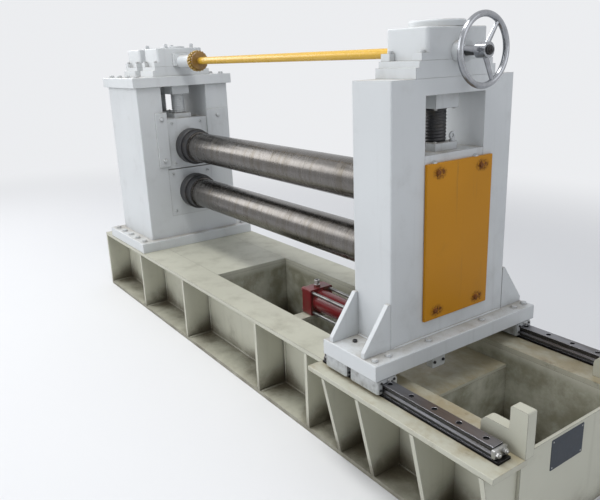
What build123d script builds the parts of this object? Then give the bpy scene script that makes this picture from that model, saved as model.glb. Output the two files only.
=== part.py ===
from build123d import *
import os

os.makedirs("parts", exist_ok=True)

# A coil slitting machine: two knife arbors between a fixed stand and a stand that
# slides along the arbors on rails, all on one fabricated base.
# Millimetres. +X runs along the arbors to the sliding stand, +Z is up, and the
# origin is on the floor under the middle of the base.

# Base frame
base_length = 3500
plate_t = 20
base_h = 390
pit_half = 230
flange_w = 170
wide_pit_half = 250
seat_w = 225
rib_t = 20
narrow_ribs_from_rear = (10, 650, 1280, 2072)
wide_ribs_from_front = (42, 325, 600, 800)
deck_length = 1392
shelf_from_front = 510
shelf_length = 500
shelf_t = 12
front_plate_t = 12
front_plate_half = 320
front_plate_set_back = 20
seat_lip = 14

# Cylinder that moves the stand
cyl_cap = 135
cyl_cap_t = 70
cyl_tube_r = 56
cyl_bore_r = 46
cyl_axis_z = 378
cyl_length = 570
cyl_rear_from_front = 1507
tie_rod_r = 8
tie_rod_pitch = 104
rod_r = 24
rod_gap = 0.1
piston_t = 30
piston_gap = 17
gland_lip = 16
cyl_gland_t = 14
tie_nut_t = 12
port_r = 17
port_h = 9
support_h = 60
support_foot_w = 80
support_web_t = 16
bracket_t = 30
bracket_w = 74
bracket_from_face = 120
bracket_drop = 50

# Rails, bearing blocks and end stops
rail_y = 384
rail_w = 45
rail_h = 38
rail_pad_h = 9
rail_pad_lip = 6
rail_waist = 5
rail_length = 822
rail_from_front = 58
rail_pad_from_front = 32
rail_hole_pitch = 105
rail_to_carriage = 20
block_w = 90
block_gap = 2
block_length = 140
rear_block_length = 113
block_from_front = 8
block_from_rear = 4
stop_w = 40
stop_y = 310
stop_h = 155
stop_post_t = 62
stop_bump_t = 105
stop_bump_h = 76
stop_bump_round = 28

# Stands
arbor_low_z = 746
arbor_pitch = 287
stand_half = 310
window_half = 152
window_floor_z = 586
chock_split_z = 887
chock_gap = 5
chock_side_gap = 0.3
upper_chock_h = 313
fixed_face_from_rear = 660
fixed_depth = 492
fixed_plate_h = 60
fixed_plate_margin = 50
fixed_plate_half = 395
stand_top_z = 1465
fixed_cap_h = 60
fixed_cap_lip = 22
keeper_w = 77
keeper_overlap = 20
far_keeper_w = 156
far_keeper_overlap = 8
keeper_t = 12
keeper_h = 338
keeper_floor_z = 911
outer_face_from_front = 800
outer_depth = 201
outer_lintel_h = 57
carriage_t = 60
carriage_half = 441
carriage_rear_lip = 32
carriage_front_lip = 67
gusset_w = 125
gusset_h = 176
gusset_t = 20
gusset_toe_h = 20
gusset_tip_w = 12
panel_t = 12
panel_left = 150
panel_right = 195
panel_floor_z = 583
panel_h = 592

# Arbors
arbor_r = 89
arbor_end_gap = 10
journal_r = 60
journal_length = 185
journal_gap = 0.1
journal_end_gap = 6
neck_r = 70
tail_r = 45
tail_length = 153
collar_r = 111
collar_t = 70
collar_step_r = 100
collar_step_t = 58
collar_seat_r = 93
collar_from_face = 50
key_w = 22
key_depth = 9
tail_key_w = 14
tail_key_depth = 6
tail_key_end = 40
turned_chamfer = 4
bearing_cover_r = 98
bearing_cover_t = 20
front_cover_r = 78
front_cover_t = 44

# Screw jacks and synchronising shaft
screw_r = 39
screw_gap = 3
retainer_half = 58
retainer_h = 28
nut_half = 58
nut_h = 53
screw_top_z = 1475
jack_plate_h = 36
jack_plate_half = 190
outer_plate_half = 200
jack_neck_h = 22
jack_neck_inset = 16
link_gap = 92
gearbox_half = 150
gearbox_h = 108
gearbox_corner = 14
gearbox_foot_w = 24
gearbox_foot_length = 46
gearbox_foot_h = 26
screw_cap_r = 100
screw_cap_h = 25
low_cap_r = 72
low_cap_h = 10
shaft_above_gearbox_floor = 26
boss_length = 195
boss_bore_depth = 80
boss_r = 38
boss_flange_r = 52
boss_flange_t = 22
boss_flange_lift = 12
coupling_r = 53
coupling_length = 70
coupling_gap = 5
shaft_stub = 60
tube_r = 20
drive_r = 16
drive_reach = 495
drive_room = 20
drive_lip = 6
end_ring_r = 27
end_ring_t = 26
gland_t = 17
gland_r = 32
wheel_boss_t = 38
wheel_boss_r = 36
wheel_r = 125
wheel_rim_r = 11
wheel_reach = 110
wheel_hub_r = 26
wheel_hub_t = 44
wheel_spokes = 3
wheel_spoke_r = 9
wheel_first_spoke = 55
link_r = 24
link_hub_r = 38
link_hub_gap = 16

# Levels and stations that follow from the sizes above
rear_x = -base_length / 2
front_x = base_length / 2
fixed_face_x = rear_x + fixed_face_from_rear
outer_face_x = front_x - outer_face_from_front
beam_front_x = front_x - front_plate_set_back - front_plate_t
deck_z = base_h - plate_t
flange_edge = pit_half + flange_w
seat_edge = wide_pit_half + seat_w
seat_rear_x = front_x - rail_from_front - rail_length - seat_lip
shelf_front_x = front_x - shelf_from_front
shelf_rear_x = shelf_front_x - shelf_length
shelf_top_z = cyl_axis_z - cyl_cap / 2
rail_front_x = front_x - rail_from_front
rail_top_z = base_h + rail_pad_h + rail_h
carriage_z = rail_top_z + rail_to_carriage
carriage_top_z = carriage_z + carriage_t
carriage_rear_x = outer_face_x - carriage_rear_lip
carriage_length = carriage_rear_lip + outer_depth + carriage_front_lip
fixed_rear_x = fixed_face_x - fixed_depth
fixed_plate_top_z = base_h + fixed_plate_h
fixed_cap_z = stand_top_z - fixed_cap_h
arbor_high_z = arbor_low_z + arbor_pitch
upper_chock_z = chock_split_z + chock_gap
upper_chock_top_z = upper_chock_z + upper_chock_h
screw_floor_z = upper_chock_top_z + retainer_h
chock_half = window_half - chock_side_gap
outer_window_top_z = stand_top_z - outer_lintel_h
jack_plate_top_z = stand_top_z + jack_plate_h
gearbox_z = jack_plate_top_z + jack_neck_h
gearbox_top_z = gearbox_z + gearbox_h
shaft_z = gearbox_z + shaft_above_gearbox_floor
outer_front_x = outer_face_x + outer_depth
arbor_end_x = outer_face_x - arbor_end_gap
collar_x = fixed_face_x + collar_from_face
seat_x = collar_x + collar_t + collar_step_t
gearbox_length = (fixed_depth - link_gap) / 2
jack_stations = (fixed_face_x - gearbox_length / 2, fixed_rear_x + gearbox_length / 2)
outer_jack_x = outer_face_x + outer_depth / 2
wheel_x = outer_front_x + wheel_reach
coupling_x = fixed_face_x + boss_length + coupling_gap
tube_end_x = outer_face_x - gland_t - coupling_gap
cyl_rear_x = front_x - cyl_rear_from_front
cyl_front_x = cyl_rear_x + cyl_length
bracket_x = outer_face_x + bracket_from_face


def across(x):
    """Plane square to the arbors at x, with its own x along +Y and its own y up."""
    return Plane(origin=(x, 0, 0), x_dir=(0, 1, 0), z_dir=(1, 0, 0))


def save(part, name):
    part.label = name
    export_step(part, f"parts/{name}.step")


# Base: the webs stand closer together along the narrow pit than along the wide one
with BuildPart() as side_webs:
    with BuildSketch(Plane.XY.offset(plate_t)):
        with BuildLine():
            Polyline(
                (rear_x, pit_half),
                (shelf_rear_x, pit_half),
                (shelf_rear_x, wide_pit_half),
                (beam_front_x, wide_pit_half),
                (beam_front_x, wide_pit_half + plate_t),
                (shelf_rear_x - plate_t, wide_pit_half + plate_t),
                (shelf_rear_x - plate_t, pit_half + plate_t),
                (rear_x, pit_half + plate_t),
                close=True,
            )
        make_face()
    extrude(amount=deck_z - plate_t)
    mirror(about=Plane.XZ)
save(side_webs.part, "side_webs")

with BuildPart() as flange_plates:
    with BuildSketch(Plane.XY.offset(deck_z)):
        with Locations((rear_x, pit_half)):
            Rectangle(seat_rear_x - rear_x, flange_w, align=(Align.MIN, Align.MIN))
    extrude(amount=plate_t)
    with BuildSketch(Plane.XY):
        with Locations((rear_x, pit_half)):
            Rectangle(beam_front_x - rear_x, flange_w, align=(Align.MIN, Align.MIN))
    extrude(amount=plate_t)
    mirror(about=Plane.XZ)
save(flange_plates.part, "flange_plates")

with BuildPart() as upright_ribs:
    for station in narrow_ribs_from_rear:
        with BuildSketch(across(rear_x + station)):
            with Locations((pit_half + plate_t, plate_t)):
                Rectangle(flange_w - plate_t, deck_z - plate_t, align=(Align.MIN, Align.MIN))
        extrude(amount=rib_t / 2, both=True)
    with BuildSketch(across(shelf_rear_x - plate_t)):
        with Locations((wide_pit_half + plate_t, plate_t)):
            Rectangle(flange_edge - wide_pit_half - plate_t, deck_z - plate_t, align=(Align.MIN, Align.MIN))
    extrude(amount=rib_t)
    mirror(about=Plane.XZ)
save(upright_ribs.part, "upright_ribs")

with BuildPart() as tapered_ribs:
    for station in wide_ribs_from_front:
        with BuildSketch(across(front_x - station)):
            with BuildLine():
                Polyline(
                    (wide_pit_half + plate_t, plate_t),
                    (flange_edge, plate_t),
                    (seat_edge, deck_z),
                    (wide_pit_half + plate_t, deck_z),
                    close=True,
                )
            make_face()
        extrude(amount=rib_t / 2, both=True)
    mirror(about=Plane.XZ)
save(tapered_ribs.part, "tapered_ribs")

with BuildPart() as rail_seats:
    with BuildSketch(Plane.XY.offset(deck_z)):
        with Locations((seat_rear_x, wide_pit_half)):
            Rectangle(beam_front_x - seat_rear_x, seat_w, align=(Align.MIN, Align.MIN))
        with Locations((beam_front_x, front_plate_half)):
            Rectangle(front_x - beam_front_x, seat_edge - front_plate_half, align=(Align.MIN, Align.MIN))
    extrude(amount=plate_t)
    outer_edges = rail_seats.edges().filter_by(Axis.X).sort_by(Axis.Y)[-2:]
    chamfer(outer_edges, length=2)
    mirror(about=Plane.XZ)
save(rail_seats.part, "rail_seats")

with BuildPart() as deck_plate:
    with BuildSketch(Plane.XY.offset(deck_z)):
        with Locations((rear_x, 0)):
            Rectangle(deck_length, 2 * pit_half, align=(Align.MIN, Align.CENTER))
    extrude(amount=plate_t)
save(deck_plate.part, "deck_plate")

# Upright cross plates: rear end, end of the deck, under both ends of the shelf, front end
with BuildPart() as cross_plates:
    for station in (rear_x, rear_x + deck_length - plate_t):
        with BuildSketch(across(station)):
            with Locations((0, plate_t)):
                Rectangle(2 * pit_half, deck_z - plate_t, align=(Align.CENTER, Align.MIN))
        extrude(amount=plate_t)
    for station in (shelf_rear_x, shelf_front_x - plate_t):
        with BuildSketch(across(station)):
            with Locations((0, plate_t)):
                Rectangle(
                    2 * wide_pit_half,
                    shelf_top_z - shelf_t - plate_t,
                    align=(Align.CENTER, Align.MIN),
                )
        extrude(amount=plate_t)
    with BuildSketch(across(beam_front_x)):
        with Locations((0, plate_t)):
            Rectangle(2 * front_plate_half, base_h - plate_t, align=(Align.CENTER, Align.MIN))
    extrude(amount=front_plate_t)
save(cross_plates.part, "cross_plates")

with BuildPart() as cross_shelf:
    with BuildSketch(Plane.XY.offset(shelf_top_z - shelf_t)):
        with Locations((shelf_rear_x, 0)):
            Rectangle(shelf_length, 2 * wide_pit_half, align=(Align.MIN, Align.CENTER))
    extrude(amount=shelf_t)
save(cross_shelf.part, "cross_shelf")

# End stops: an upright post with a lower buffer, round at its rear, facing the carriage
with BuildPart() as end_stops:
    with BuildSketch(Plane.XZ.offset(-stop_y - stop_w / 2)):
        with BuildLine():
            post_rear_x = front_x - stop_post_t
            bump_rear_x = post_rear_x - stop_bump_t
            bump_top_z = base_h + stop_bump_h
            stop_line = Polyline(
                (bump_rear_x + stop_bump_round, bump_top_z),
                (post_rear_x, bump_top_z),
                (post_rear_x, base_h + stop_h),
                (front_x, base_h + stop_h),
                (front_x, base_h),
                (bump_rear_x, base_h),
                (bump_rear_x, bump_top_z - stop_bump_round),
            )
            RadiusArc(stop_line @ 1, stop_line @ 0, stop_bump_round)
        make_face()
    extrude(amount=stop_w)
    fillet(end_stops.edges().filter_by(Axis.Y).group_by(Axis.Z)[-1], radius=6)
    mirror(about=Plane.XZ)
save(end_stops.part, "end_stops")

# Profile rails: waisted sides on a ground pad, with a row of counterbored holes
rail_foot_z = base_h + rail_pad_h
rail_half = rail_w / 2
with BuildSketch() as rail_outline:
    with BuildLine():
        rail_side = Polyline(
            (rail_half, rail_foot_z),
            (rail_half, rail_foot_z + 0.3 * rail_h),
            (rail_half - rail_waist, rail_foot_z + 0.45 * rail_h),
            (rail_half - rail_waist, rail_foot_z + 0.65 * rail_h),
            (rail_half, rail_foot_z + 0.8 * rail_h),
            (rail_half, rail_top_z),
        )
        Line(rail_side @ 1, (0, rail_top_z))
        Line((0, rail_foot_z), rail_side @ 0)
        mirror(about=Plane.YZ)
    make_face()
block_slot = offset(rail_outline.sketch, amount=block_gap, kind=Kind.INTERSECTION)

with BuildPart() as linear_rails:
    with BuildSketch(across(rail_front_x - rail_length)):
        with Locations((rail_y, 0)):
            add(rail_outline.sketch)
    extrude(amount=rail_length)
    with BuildSketch(Plane.XY.offset(base_h)):
        with Locations((rail_front_x - rail_length, rail_y)):
            Rectangle(
                front_x - rail_pad_from_front - rail_front_x + rail_length,
                rail_w + 2 * rail_pad_lip,
                align=(Align.MIN, Align.CENTER),
            )
    extrude(amount=rail_pad_h)
    hole_count = int((rail_length - rail_w) // rail_hole_pitch) + 1
    with Locations((rail_front_x - rail_length / 2, rail_y, rail_top_z)):
        with GridLocations(rail_hole_pitch, 1, hole_count, 1):
            CounterBoreHole(radius=7, counter_bore_radius=10, counter_bore_depth=17, depth=rail_h)
    mirror(about=Plane.XZ)
save(linear_rails.part, "linear_rails")

# Cylinder that pushes the stand: square caps, tie rods, tube and a cross beam under its rear
with BuildPart() as cylinder_support:
    with BuildSketch(across(cyl_rear_x)):
        with Locations((0, shelf_top_z)):
            Rectangle(2 * pit_half, support_h, align=(Align.CENTER, Align.MAX))
        with Locations((0, shelf_top_z - support_h)):
            Rectangle(
                2 * (pit_half - support_foot_w),
                support_h - support_web_t,
                align=(Align.CENTER, Align.MIN),
                mode=Mode.SUBTRACT,
            )
    extrude(amount=cyl_cap_t)
save(cylinder_support.part, "cylinder_support")

with BuildPart() as cylinder_caps:
    for station in (cyl_rear_x, cyl_front_x - cyl_cap_t):
        with BuildSketch(across(station)):
            with Locations((0, cyl_axis_z)):
                RectangleRounded(cyl_cap, cyl_cap, 6)
        extrude(amount=cyl_cap_t)
    with BuildSketch(across(cyl_front_x)):
        with Locations((0, cyl_axis_z)):
            Circle(rod_r + gland_lip)
    extrude(amount=cyl_gland_t)
    with BuildSketch(across(cyl_front_x - cyl_cap_t)):
        with Locations((0, cyl_axis_z)):
            Circle(rod_r + rod_gap)
    extrude(amount=cyl_cap_t + cyl_gland_t, mode=Mode.SUBTRACT)
    with BuildSketch(across(cyl_rear_x - tie_nut_t)):
        with Locations((0, cyl_axis_z)):
            with GridLocations(tie_rod_pitch, tie_rod_pitch, 2, 2):
                RegularPolygon(radius=tie_rod_r * 1.7, side_count=6)
    extrude(amount=tie_nut_t)
    with BuildSketch(across(cyl_front_x)):
        with Locations((0, cyl_axis_z)):
            with GridLocations(tie_rod_pitch, tie_rod_pitch, 2, 2):
                RegularPolygon(radius=tie_rod_r * 1.7, side_count=6)
    extrude(amount=tie_nut_t)
    with BuildSketch(across(cyl_rear_x)):
        with Locations((0, cyl_axis_z)):
            with GridLocations(tie_rod_pitch, tie_rod_pitch, 2, 2):
                Circle(tie_rod_r)
    extrude(amount=cyl_length)
    # oil ports on top of both caps
    with BuildSketch(Plane.XY.offset(cyl_axis_z + cyl_cap / 2)):
        with Locations((cyl_rear_x + cyl_cap_t / 2, 0), (cyl_front_x - cyl_cap_t / 2, 0)):
            Circle(port_r)
    extrude(amount=port_h)
save(cylinder_caps.part, "cylinder_caps")

with BuildPart() as cylinder_tube:
    with BuildSketch(across(cyl_rear_x + cyl_cap_t)):
        with Locations((0, cyl_axis_z)):
            Circle(cyl_tube_r)
            Circle(cyl_bore_r, mode=Mode.SUBTRACT)
    extrude(amount=cyl_length - 2 * cyl_cap_t)
save(cylinder_tube.part, "cylinder_tube")

# Fixed stand: a deep housing open at the top, closed by a cap that carries the jacks
with BuildPart() as fixed_stand_base:
    with BuildSketch(Plane.XY.offset(base_h)):
        with Locations((fixed_face_x - fixed_depth / 2, 0)):
            Rectangle(fixed_depth + 2 * fixed_plate_margin, 2 * fixed_plate_half)
    extrude(amount=fixed_plate_h)
    chamfer(fixed_stand_base.edges().group_by(Axis.Z)[-1], length=3)
save(fixed_stand_base.part, "fixed_stand_base")

with BuildPart() as fixed_stand_frame:
    with BuildSketch(across(fixed_rear_x)):
        with Locations((0, fixed_plate_top_z)):
            Rectangle(2 * stand_half, fixed_cap_z - fixed_plate_top_z, align=(Align.CENTER, Align.MIN))
        with Locations((0, window_floor_z)):
            Rectangle(
                2 * window_half,
                fixed_cap_z - window_floor_z,
                align=(Align.CENTER, Align.MIN),
                mode=Mode.SUBTRACT,
            )
    extrude(amount=fixed_depth)
    side_faces = fixed_stand_frame.faces().sort_by(Axis.Y)
    corner_edges = side_faces[0].edges().filter_by(Axis.Z) + side_faces[-1].edges().filter_by(Axis.Z)
    fillet(corner_edges, radius=6)
save(fixed_stand_frame.part, "fixed_stand_frame")

with BuildPart() as fixed_stand_cap:
    with BuildSketch(Plane.XY.offset(fixed_cap_z)):
        with Locations((fixed_face_x - fixed_depth / 2, 0)):
            Rectangle(fixed_depth + 2 * fixed_cap_lip, 2 * (stand_half + fixed_cap_lip))
    extrude(amount=fixed_cap_h)
    chamfer(fixed_stand_cap.edges().group_by(Axis.Z)[-1], length=3)
    with BuildSketch(Plane.XY.offset(fixed_cap_z - nut_h)):
        with Locations([(station, 0) for station in jack_stations]):
            Rectangle(2 * nut_half, 2 * nut_half)
    extrude(amount=nut_h)
    with BuildSketch(Plane.XY.offset(fixed_cap_z - nut_h)):
        with Locations([(station, 0) for station in jack_stations]):
            Circle(screw_r + screw_gap)
    extrude(amount=nut_h + fixed_cap_h, mode=Mode.SUBTRACT)
save(fixed_stand_cap.part, "fixed_stand_cap")

# Keeper plates hold the chocks in the window, a narrow and a wide one on each face of the stand
with BuildPart() as chock_keepers:
    for station in (fixed_face_x, fixed_rear_x - keeper_t):
        with BuildSketch(across(station)):
            with Locations((-window_half + keeper_overlap, keeper_floor_z)):
                Rectangle(keeper_w, keeper_h, align=(Align.MAX, Align.MIN))
            with Locations((window_half - far_keeper_overlap, keeper_floor_z)):
                Rectangle(far_keeper_w, keeper_h, align=(Align.MIN, Align.MIN))
        extrude(amount=keeper_t)
    chamfer(chock_keepers.faces().sort_by(Axis.X)[-2:].edges(), length=2)
save(chock_keepers.part, "chock_keepers")

with BuildPart() as lower_chock_fixed:
    with BuildSketch(across(fixed_rear_x)):
        with Locations((0, window_floor_z)):
            Rectangle(2 * chock_half, chock_split_z - window_floor_z, align=(Align.CENTER, Align.MIN))
        with Locations((0, arbor_low_z)):
            Circle(neck_r + journal_gap, mode=Mode.SUBTRACT)
    extrude(amount=fixed_depth)
    with BuildSketch(across(fixed_rear_x)):
        with Locations((0, arbor_low_z)):
            Circle(bearing_cover_r)
            Circle(neck_r + journal_gap, mode=Mode.SUBTRACT)
    extrude(amount=-bearing_cover_t)
    with BuildSketch(across(fixed_face_x)):
        with Locations((0, arbor_low_z)):
            Circle(front_cover_r)
            Circle(neck_r + journal_gap, mode=Mode.SUBTRACT)
    extrude(amount=front_cover_t)
    chamfer(lower_chock_fixed.edges().filter_by(GeomType.CIRCLE).group_by(Axis.X)[-1], length=3)
save(lower_chock_fixed.part, "lower_chock_fixed")

with BuildPart() as upper_chock_fixed:
    with BuildSketch(across(fixed_rear_x + chock_side_gap)):
        with Locations((0, upper_chock_z)):
            Rectangle(2 * chock_half, upper_chock_h, align=(Align.CENTER, Align.MIN))
        with Locations((0, arbor_high_z)):
            Circle(neck_r + journal_gap, mode=Mode.SUBTRACT)
    extrude(amount=fixed_depth - 2 * chock_side_gap)
    with BuildSketch(across(fixed_rear_x + chock_side_gap)):
        with Locations((0, arbor_high_z)):
            Circle(bearing_cover_r)
            Circle(neck_r + journal_gap, mode=Mode.SUBTRACT)
    extrude(amount=-bearing_cover_t)
    with BuildSketch(across(fixed_face_x - chock_side_gap)):
        with Locations((0, arbor_high_z)):
            Circle(front_cover_r)
            Circle(neck_r + journal_gap, mode=Mode.SUBTRACT)
    extrude(amount=front_cover_t)
    chamfer(upper_chock_fixed.edges().filter_by(GeomType.CIRCLE).group_by(Axis.X)[-1], length=3)
    with BuildSketch(Plane.XY.offset(upper_chock_top_z)):
        with Locations([(station, 0) for station in jack_stations]):
            Rectangle(2 * retainer_half, 2 * retainer_half)
    extrude(amount=retainer_h)
save(upper_chock_fixed.part, "upper_chock_fixed")

with BuildPart() as fixed_jack_plates:
    for station in jack_stations:
        with BuildSketch(Plane.XY.offset(stand_top_z)):
            with Locations((station, 0)):
                Rectangle(gearbox_length, 2 * jack_plate_half)
        extrude(amount=jack_plate_h)
        with BuildSketch(Plane.XY.offset(jack_plate_top_z)):
            with Locations((station, 0)):
                Rectangle(gearbox_length, 2 * (jack_plate_half - jack_neck_inset))
        extrude(amount=jack_neck_h)
    with BuildSketch(Plane.XY.offset(stand_top_z)):
        with Locations([(station, 0) for station in jack_stations]):
            Circle(screw_r + screw_gap)
    extrude(amount=jack_plate_h + jack_neck_h, mode=Mode.SUBTRACT)
save(fixed_jack_plates.part, "fixed_jack_plates")

# Worm gearboxes in line on the fixed stand, the front one with a long input boss
with BuildPart() as fixed_gearboxes:
    for station in jack_stations:
        with BuildSketch(Plane.XY.offset(gearbox_z)):
            with Locations((station, 0)):
                RectangleRounded(gearbox_length, 2 * gearbox_half, gearbox_corner)
        extrude(amount=gearbox_h)
    fillet(fixed_gearboxes.edges().group_by(Axis.Z)[-1], radius=5)
    for station in jack_stations:
        with BuildSketch(Plane.XY.offset(gearbox_z)):
            with Locations((station, 0)):
                with GridLocations(gearbox_length - gearbox_foot_length, 2 * gearbox_half, 2, 2):
                    Rectangle(gearbox_foot_length, 2 * gearbox_foot_w)
        extrude(amount=gearbox_foot_h)
    with BuildSketch(across(fixed_face_x)):
        with Locations((0, shaft_z)):
            Circle(boss_r)
    extrude(amount=boss_length)
    with BuildSketch(across(fixed_face_x)):
        with Locations((0, shaft_z + boss_flange_lift)):
            Rectangle(2 * boss_flange_r, 2 * boss_r)
    extrude(amount=boss_flange_t)
    with BuildSketch(across(fixed_face_x + boss_length - boss_bore_depth)):
        with Locations((0, shaft_z)):
            Circle(drive_r + journal_gap)
    extrude(amount=boss_bore_depth, mode=Mode.SUBTRACT)
save(fixed_gearboxes.part, "fixed_gearboxes")

with BuildPart() as fixed_screw_caps:
    with BuildSketch(Plane.XY.offset(gearbox_top_z)):
        with Locations([(station, 0) for station in jack_stations]):
            Circle(low_cap_r)
    extrude(amount=low_cap_h)
    fillet(fixed_screw_caps.edges().group_by(Axis.Z)[-1], radius=3)
save(fixed_screw_caps.part, "fixed_screw_caps")

with BuildPart() as fixed_lift_screws:
    with BuildSketch(Plane.XY.offset(screw_floor_z)):
        with Locations([(station, 0) for station in jack_stations]):
            Circle(screw_r)
    extrude(amount=screw_top_z - screw_floor_z)
    chamfer(fixed_lift_screws.edges().group_by(Axis.Z)[-1], length=3)
save(fixed_lift_screws.part, "fixed_lift_screws")


# Arbors: knife seat, bearing neck through the deep chock, keyed drive tail, outer journal
def arbor(axis_z):
    neck_x = fixed_rear_x - bearing_cover_t
    with BuildPart() as shaft:
        with BuildSketch(Plane.XZ):
            with BuildLine():
                Polyline(
                    (fixed_rear_x - tail_length, axis_z),
                    (fixed_rear_x - tail_length, axis_z + tail_r - turned_chamfer),
                    (fixed_rear_x - tail_length + turned_chamfer, axis_z + tail_r),
                    (neck_x, axis_z + tail_r),
                    (neck_x, axis_z + neck_r),
                    (collar_x, axis_z + neck_r),
                    (collar_x, axis_z + collar_seat_r),
                    (seat_x, axis_z + collar_seat_r),
                    (seat_x, axis_z + arbor_r),
                    (arbor_end_x - turned_chamfer, axis_z + arbor_r),
                    (arbor_end_x, axis_z + arbor_r - turned_chamfer),
                    (arbor_end_x, axis_z + journal_r),
                    (arbor_end_x + journal_length - turned_chamfer, axis_z + journal_r),
                    (arbor_end_x + journal_length, axis_z + journal_r - turned_chamfer),
                    (arbor_end_x + journal_length, axis_z),
                    close=True,
                )
            make_face()
        revolve(axis=Axis((0, 0, axis_z), (1, 0, 0)))
        # long keyway of the knife seat and short keyway of the drive tail, on the far side
        with BuildSketch(across(seat_x)):
            with Locations((arbor_r - key_depth, axis_z)):
                Rectangle(key_depth * 2, key_w, align=(Align.MIN, Align.CENTER))
        extrude(amount=arbor_end_x - seat_x, mode=Mode.SUBTRACT)
        with BuildSketch(across(fixed_rear_x - tail_length)):
            with Locations((tail_r - tail_key_depth, axis_z)):
                Rectangle(tail_key_depth * 2, tail_key_w, align=(Align.MIN, Align.CENTER))
        extrude(amount=tail_length - tail_key_end, mode=Mode.SUBTRACT)
    return shaft.part


def arbor_collar(axis_z):
    with BuildPart() as collar:
        with BuildSketch(across(collar_x)):
            with Locations((0, axis_z)):
                Circle(collar_r)
                Circle(collar_seat_r, mode=Mode.SUBTRACT)
        extrude(amount=collar_t)
        chamfer(collar.edges().filter_by(GeomType.CIRCLE).sort_by(SortBy.RADIUS)[-2:], length=turned_chamfer)
        with BuildSketch(across(collar_x + collar_t)):
            with Locations((0, axis_z)):
                Circle(collar_step_r)
                Circle(collar_seat_r, mode=Mode.SUBTRACT)
        extrude(amount=collar_step_t)
        chamfer(collar.edges().filter_by(GeomType.CIRCLE).group_by(Axis.X)[-1], length=2)
    return collar.part


save(arbor(arbor_high_z), "upper_arbor")
save(arbor(arbor_low_z), "lower_arbor")
save(arbor_collar(arbor_high_z), "upper_collar")
save(arbor_collar(arbor_low_z), "lower_collar")

# Synchronising shaft: coupling, long tube, end ring; its bore takes the sliding drive bar
with BuildPart() as sync_shaft:
    with BuildSketch(across(coupling_x)):
        with Locations((0, shaft_z)):
            Circle(coupling_r)
    extrude(amount=coupling_length)
    chamfer(sync_shaft.edges().filter_by(GeomType.CIRCLE), length=turned_chamfer)
    with BuildSketch(across(coupling_x - coupling_gap - shaft_stub)):
        with Locations((0, shaft_z)):
            Circle(drive_r)
    extrude(amount=coupling_gap + shaft_stub)
    with BuildSketch(across(coupling_x + coupling_length)):
        with Locations((0, shaft_z)):
            Circle(tube_r)
    extrude(amount=tube_end_x - coupling_x - coupling_length)
    with BuildSketch(across(tube_end_x - end_ring_t)):
        with Locations((0, shaft_z)):
            Circle(end_ring_r)
    extrude(amount=end_ring_t)
    with BuildSketch(across(outer_face_x - drive_reach - drive_room)):
        with Locations((0, shaft_z)):
            Circle(drive_r + journal_gap)
    extrude(amount=tube_end_x - outer_face_x + drive_reach + drive_room, mode=Mode.SUBTRACT)
save(sync_shaft.part, "sync_shaft")

with BuildPart() as link_shaft:
    link_x = fixed_rear_x + gearbox_length + chock_side_gap
    link_length = link_gap - 2 * chock_side_gap
    with BuildSketch(across(link_x)):
        with Locations((0, shaft_z)):
            Circle(link_r)
    extrude(amount=link_length)
    with BuildSketch(across(link_x + link_length / 2)):
        with Locations((0, shaft_z)):
            Circle(link_hub_r)
    extrude(amount=link_length / 2 - link_hub_gap, both=True)
save(link_shaft.part, "link_shaft")

# Sliding stand on its carriage plate
with BuildPart() as carriage_plate:
    with BuildSketch(Plane.XY.offset(carriage_z)):
        with Locations((carriage_rear_x, 0)):
            Rectangle(carriage_length, 2 * carriage_half, align=(Align.MIN, Align.CENTER))
    extrude(amount=carriage_t)
    chamfer(carriage_plate.edges().group_by(Axis.Z)[-1], length=3)
save(carriage_plate.part, "carriage_plate")

front_block_x = carriage_rear_x + carriage_length - block_from_front - block_length
rear_block_x = carriage_rear_x + block_from_rear
with BuildPart() as guide_blocks:
    for station, length in ((front_block_x, block_length), (rear_block_x, rear_block_length)):
        with BuildSketch(across(station)):
            with Locations((rail_y, rail_foot_z + block_gap)):
                Rectangle(block_w, carriage_z - rail_foot_z - block_gap, align=(Align.CENTER, Align.MIN))
            with Locations((rail_y, 0)):
                add(block_slot, mode=Mode.SUBTRACT)
        extrude(amount=length)
    mirror(about=Plane.XZ)
save(guide_blocks.part, "guide_blocks")

with BuildPart() as outer_stand_frame:
    with BuildSketch(across(outer_face_x)):
        with Locations((0, carriage_top_z)):
            Rectangle(2 * stand_half, stand_top_z - carriage_top_z, align=(Align.CENTER, Align.MIN))
        with Locations((0, window_floor_z)):
            Rectangle(
                2 * window_half,
                outer_window_top_z - window_floor_z,
                align=(Align.CENTER, Align.MIN),
                mode=Mode.SUBTRACT,
            )
    extrude(amount=outer_depth)
    side_faces = outer_stand_frame.faces().sort_by(Axis.Y)
    corner_edges = side_faces[0].edges().filter_by(Axis.Z) + side_faces[-1].edges().filter_by(Axis.Z)
    fillet(corner_edges, radius=6)
    with BuildSketch(Plane.XY.offset(outer_window_top_z)):
        with Locations((outer_jack_x, 0)):
            Circle(screw_r + screw_gap)
    extrude(amount=stand_top_z - outer_window_top_z, mode=Mode.SUBTRACT)
save(outer_stand_frame.part, "outer_stand_frame")

with BuildPart() as stand_gussets:
    for station in (outer_face_x, outer_front_x - gusset_t):
        with BuildSketch(across(station)):
            with BuildLine():
                Polyline(
                    (stand_half, carriage_top_z),
                    (stand_half + gusset_w, carriage_top_z),
                    (stand_half + gusset_w, carriage_top_z + gusset_toe_h),
                    (stand_half + gusset_tip_w, carriage_top_z + gusset_h),
                    (stand_half, carriage_top_z + gusset_h),
                    close=True,
                )
            make_face()
        extrude(amount=gusset_t)
    mirror(about=Plane.XZ)
save(stand_gussets.part, "stand_gussets")

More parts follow.
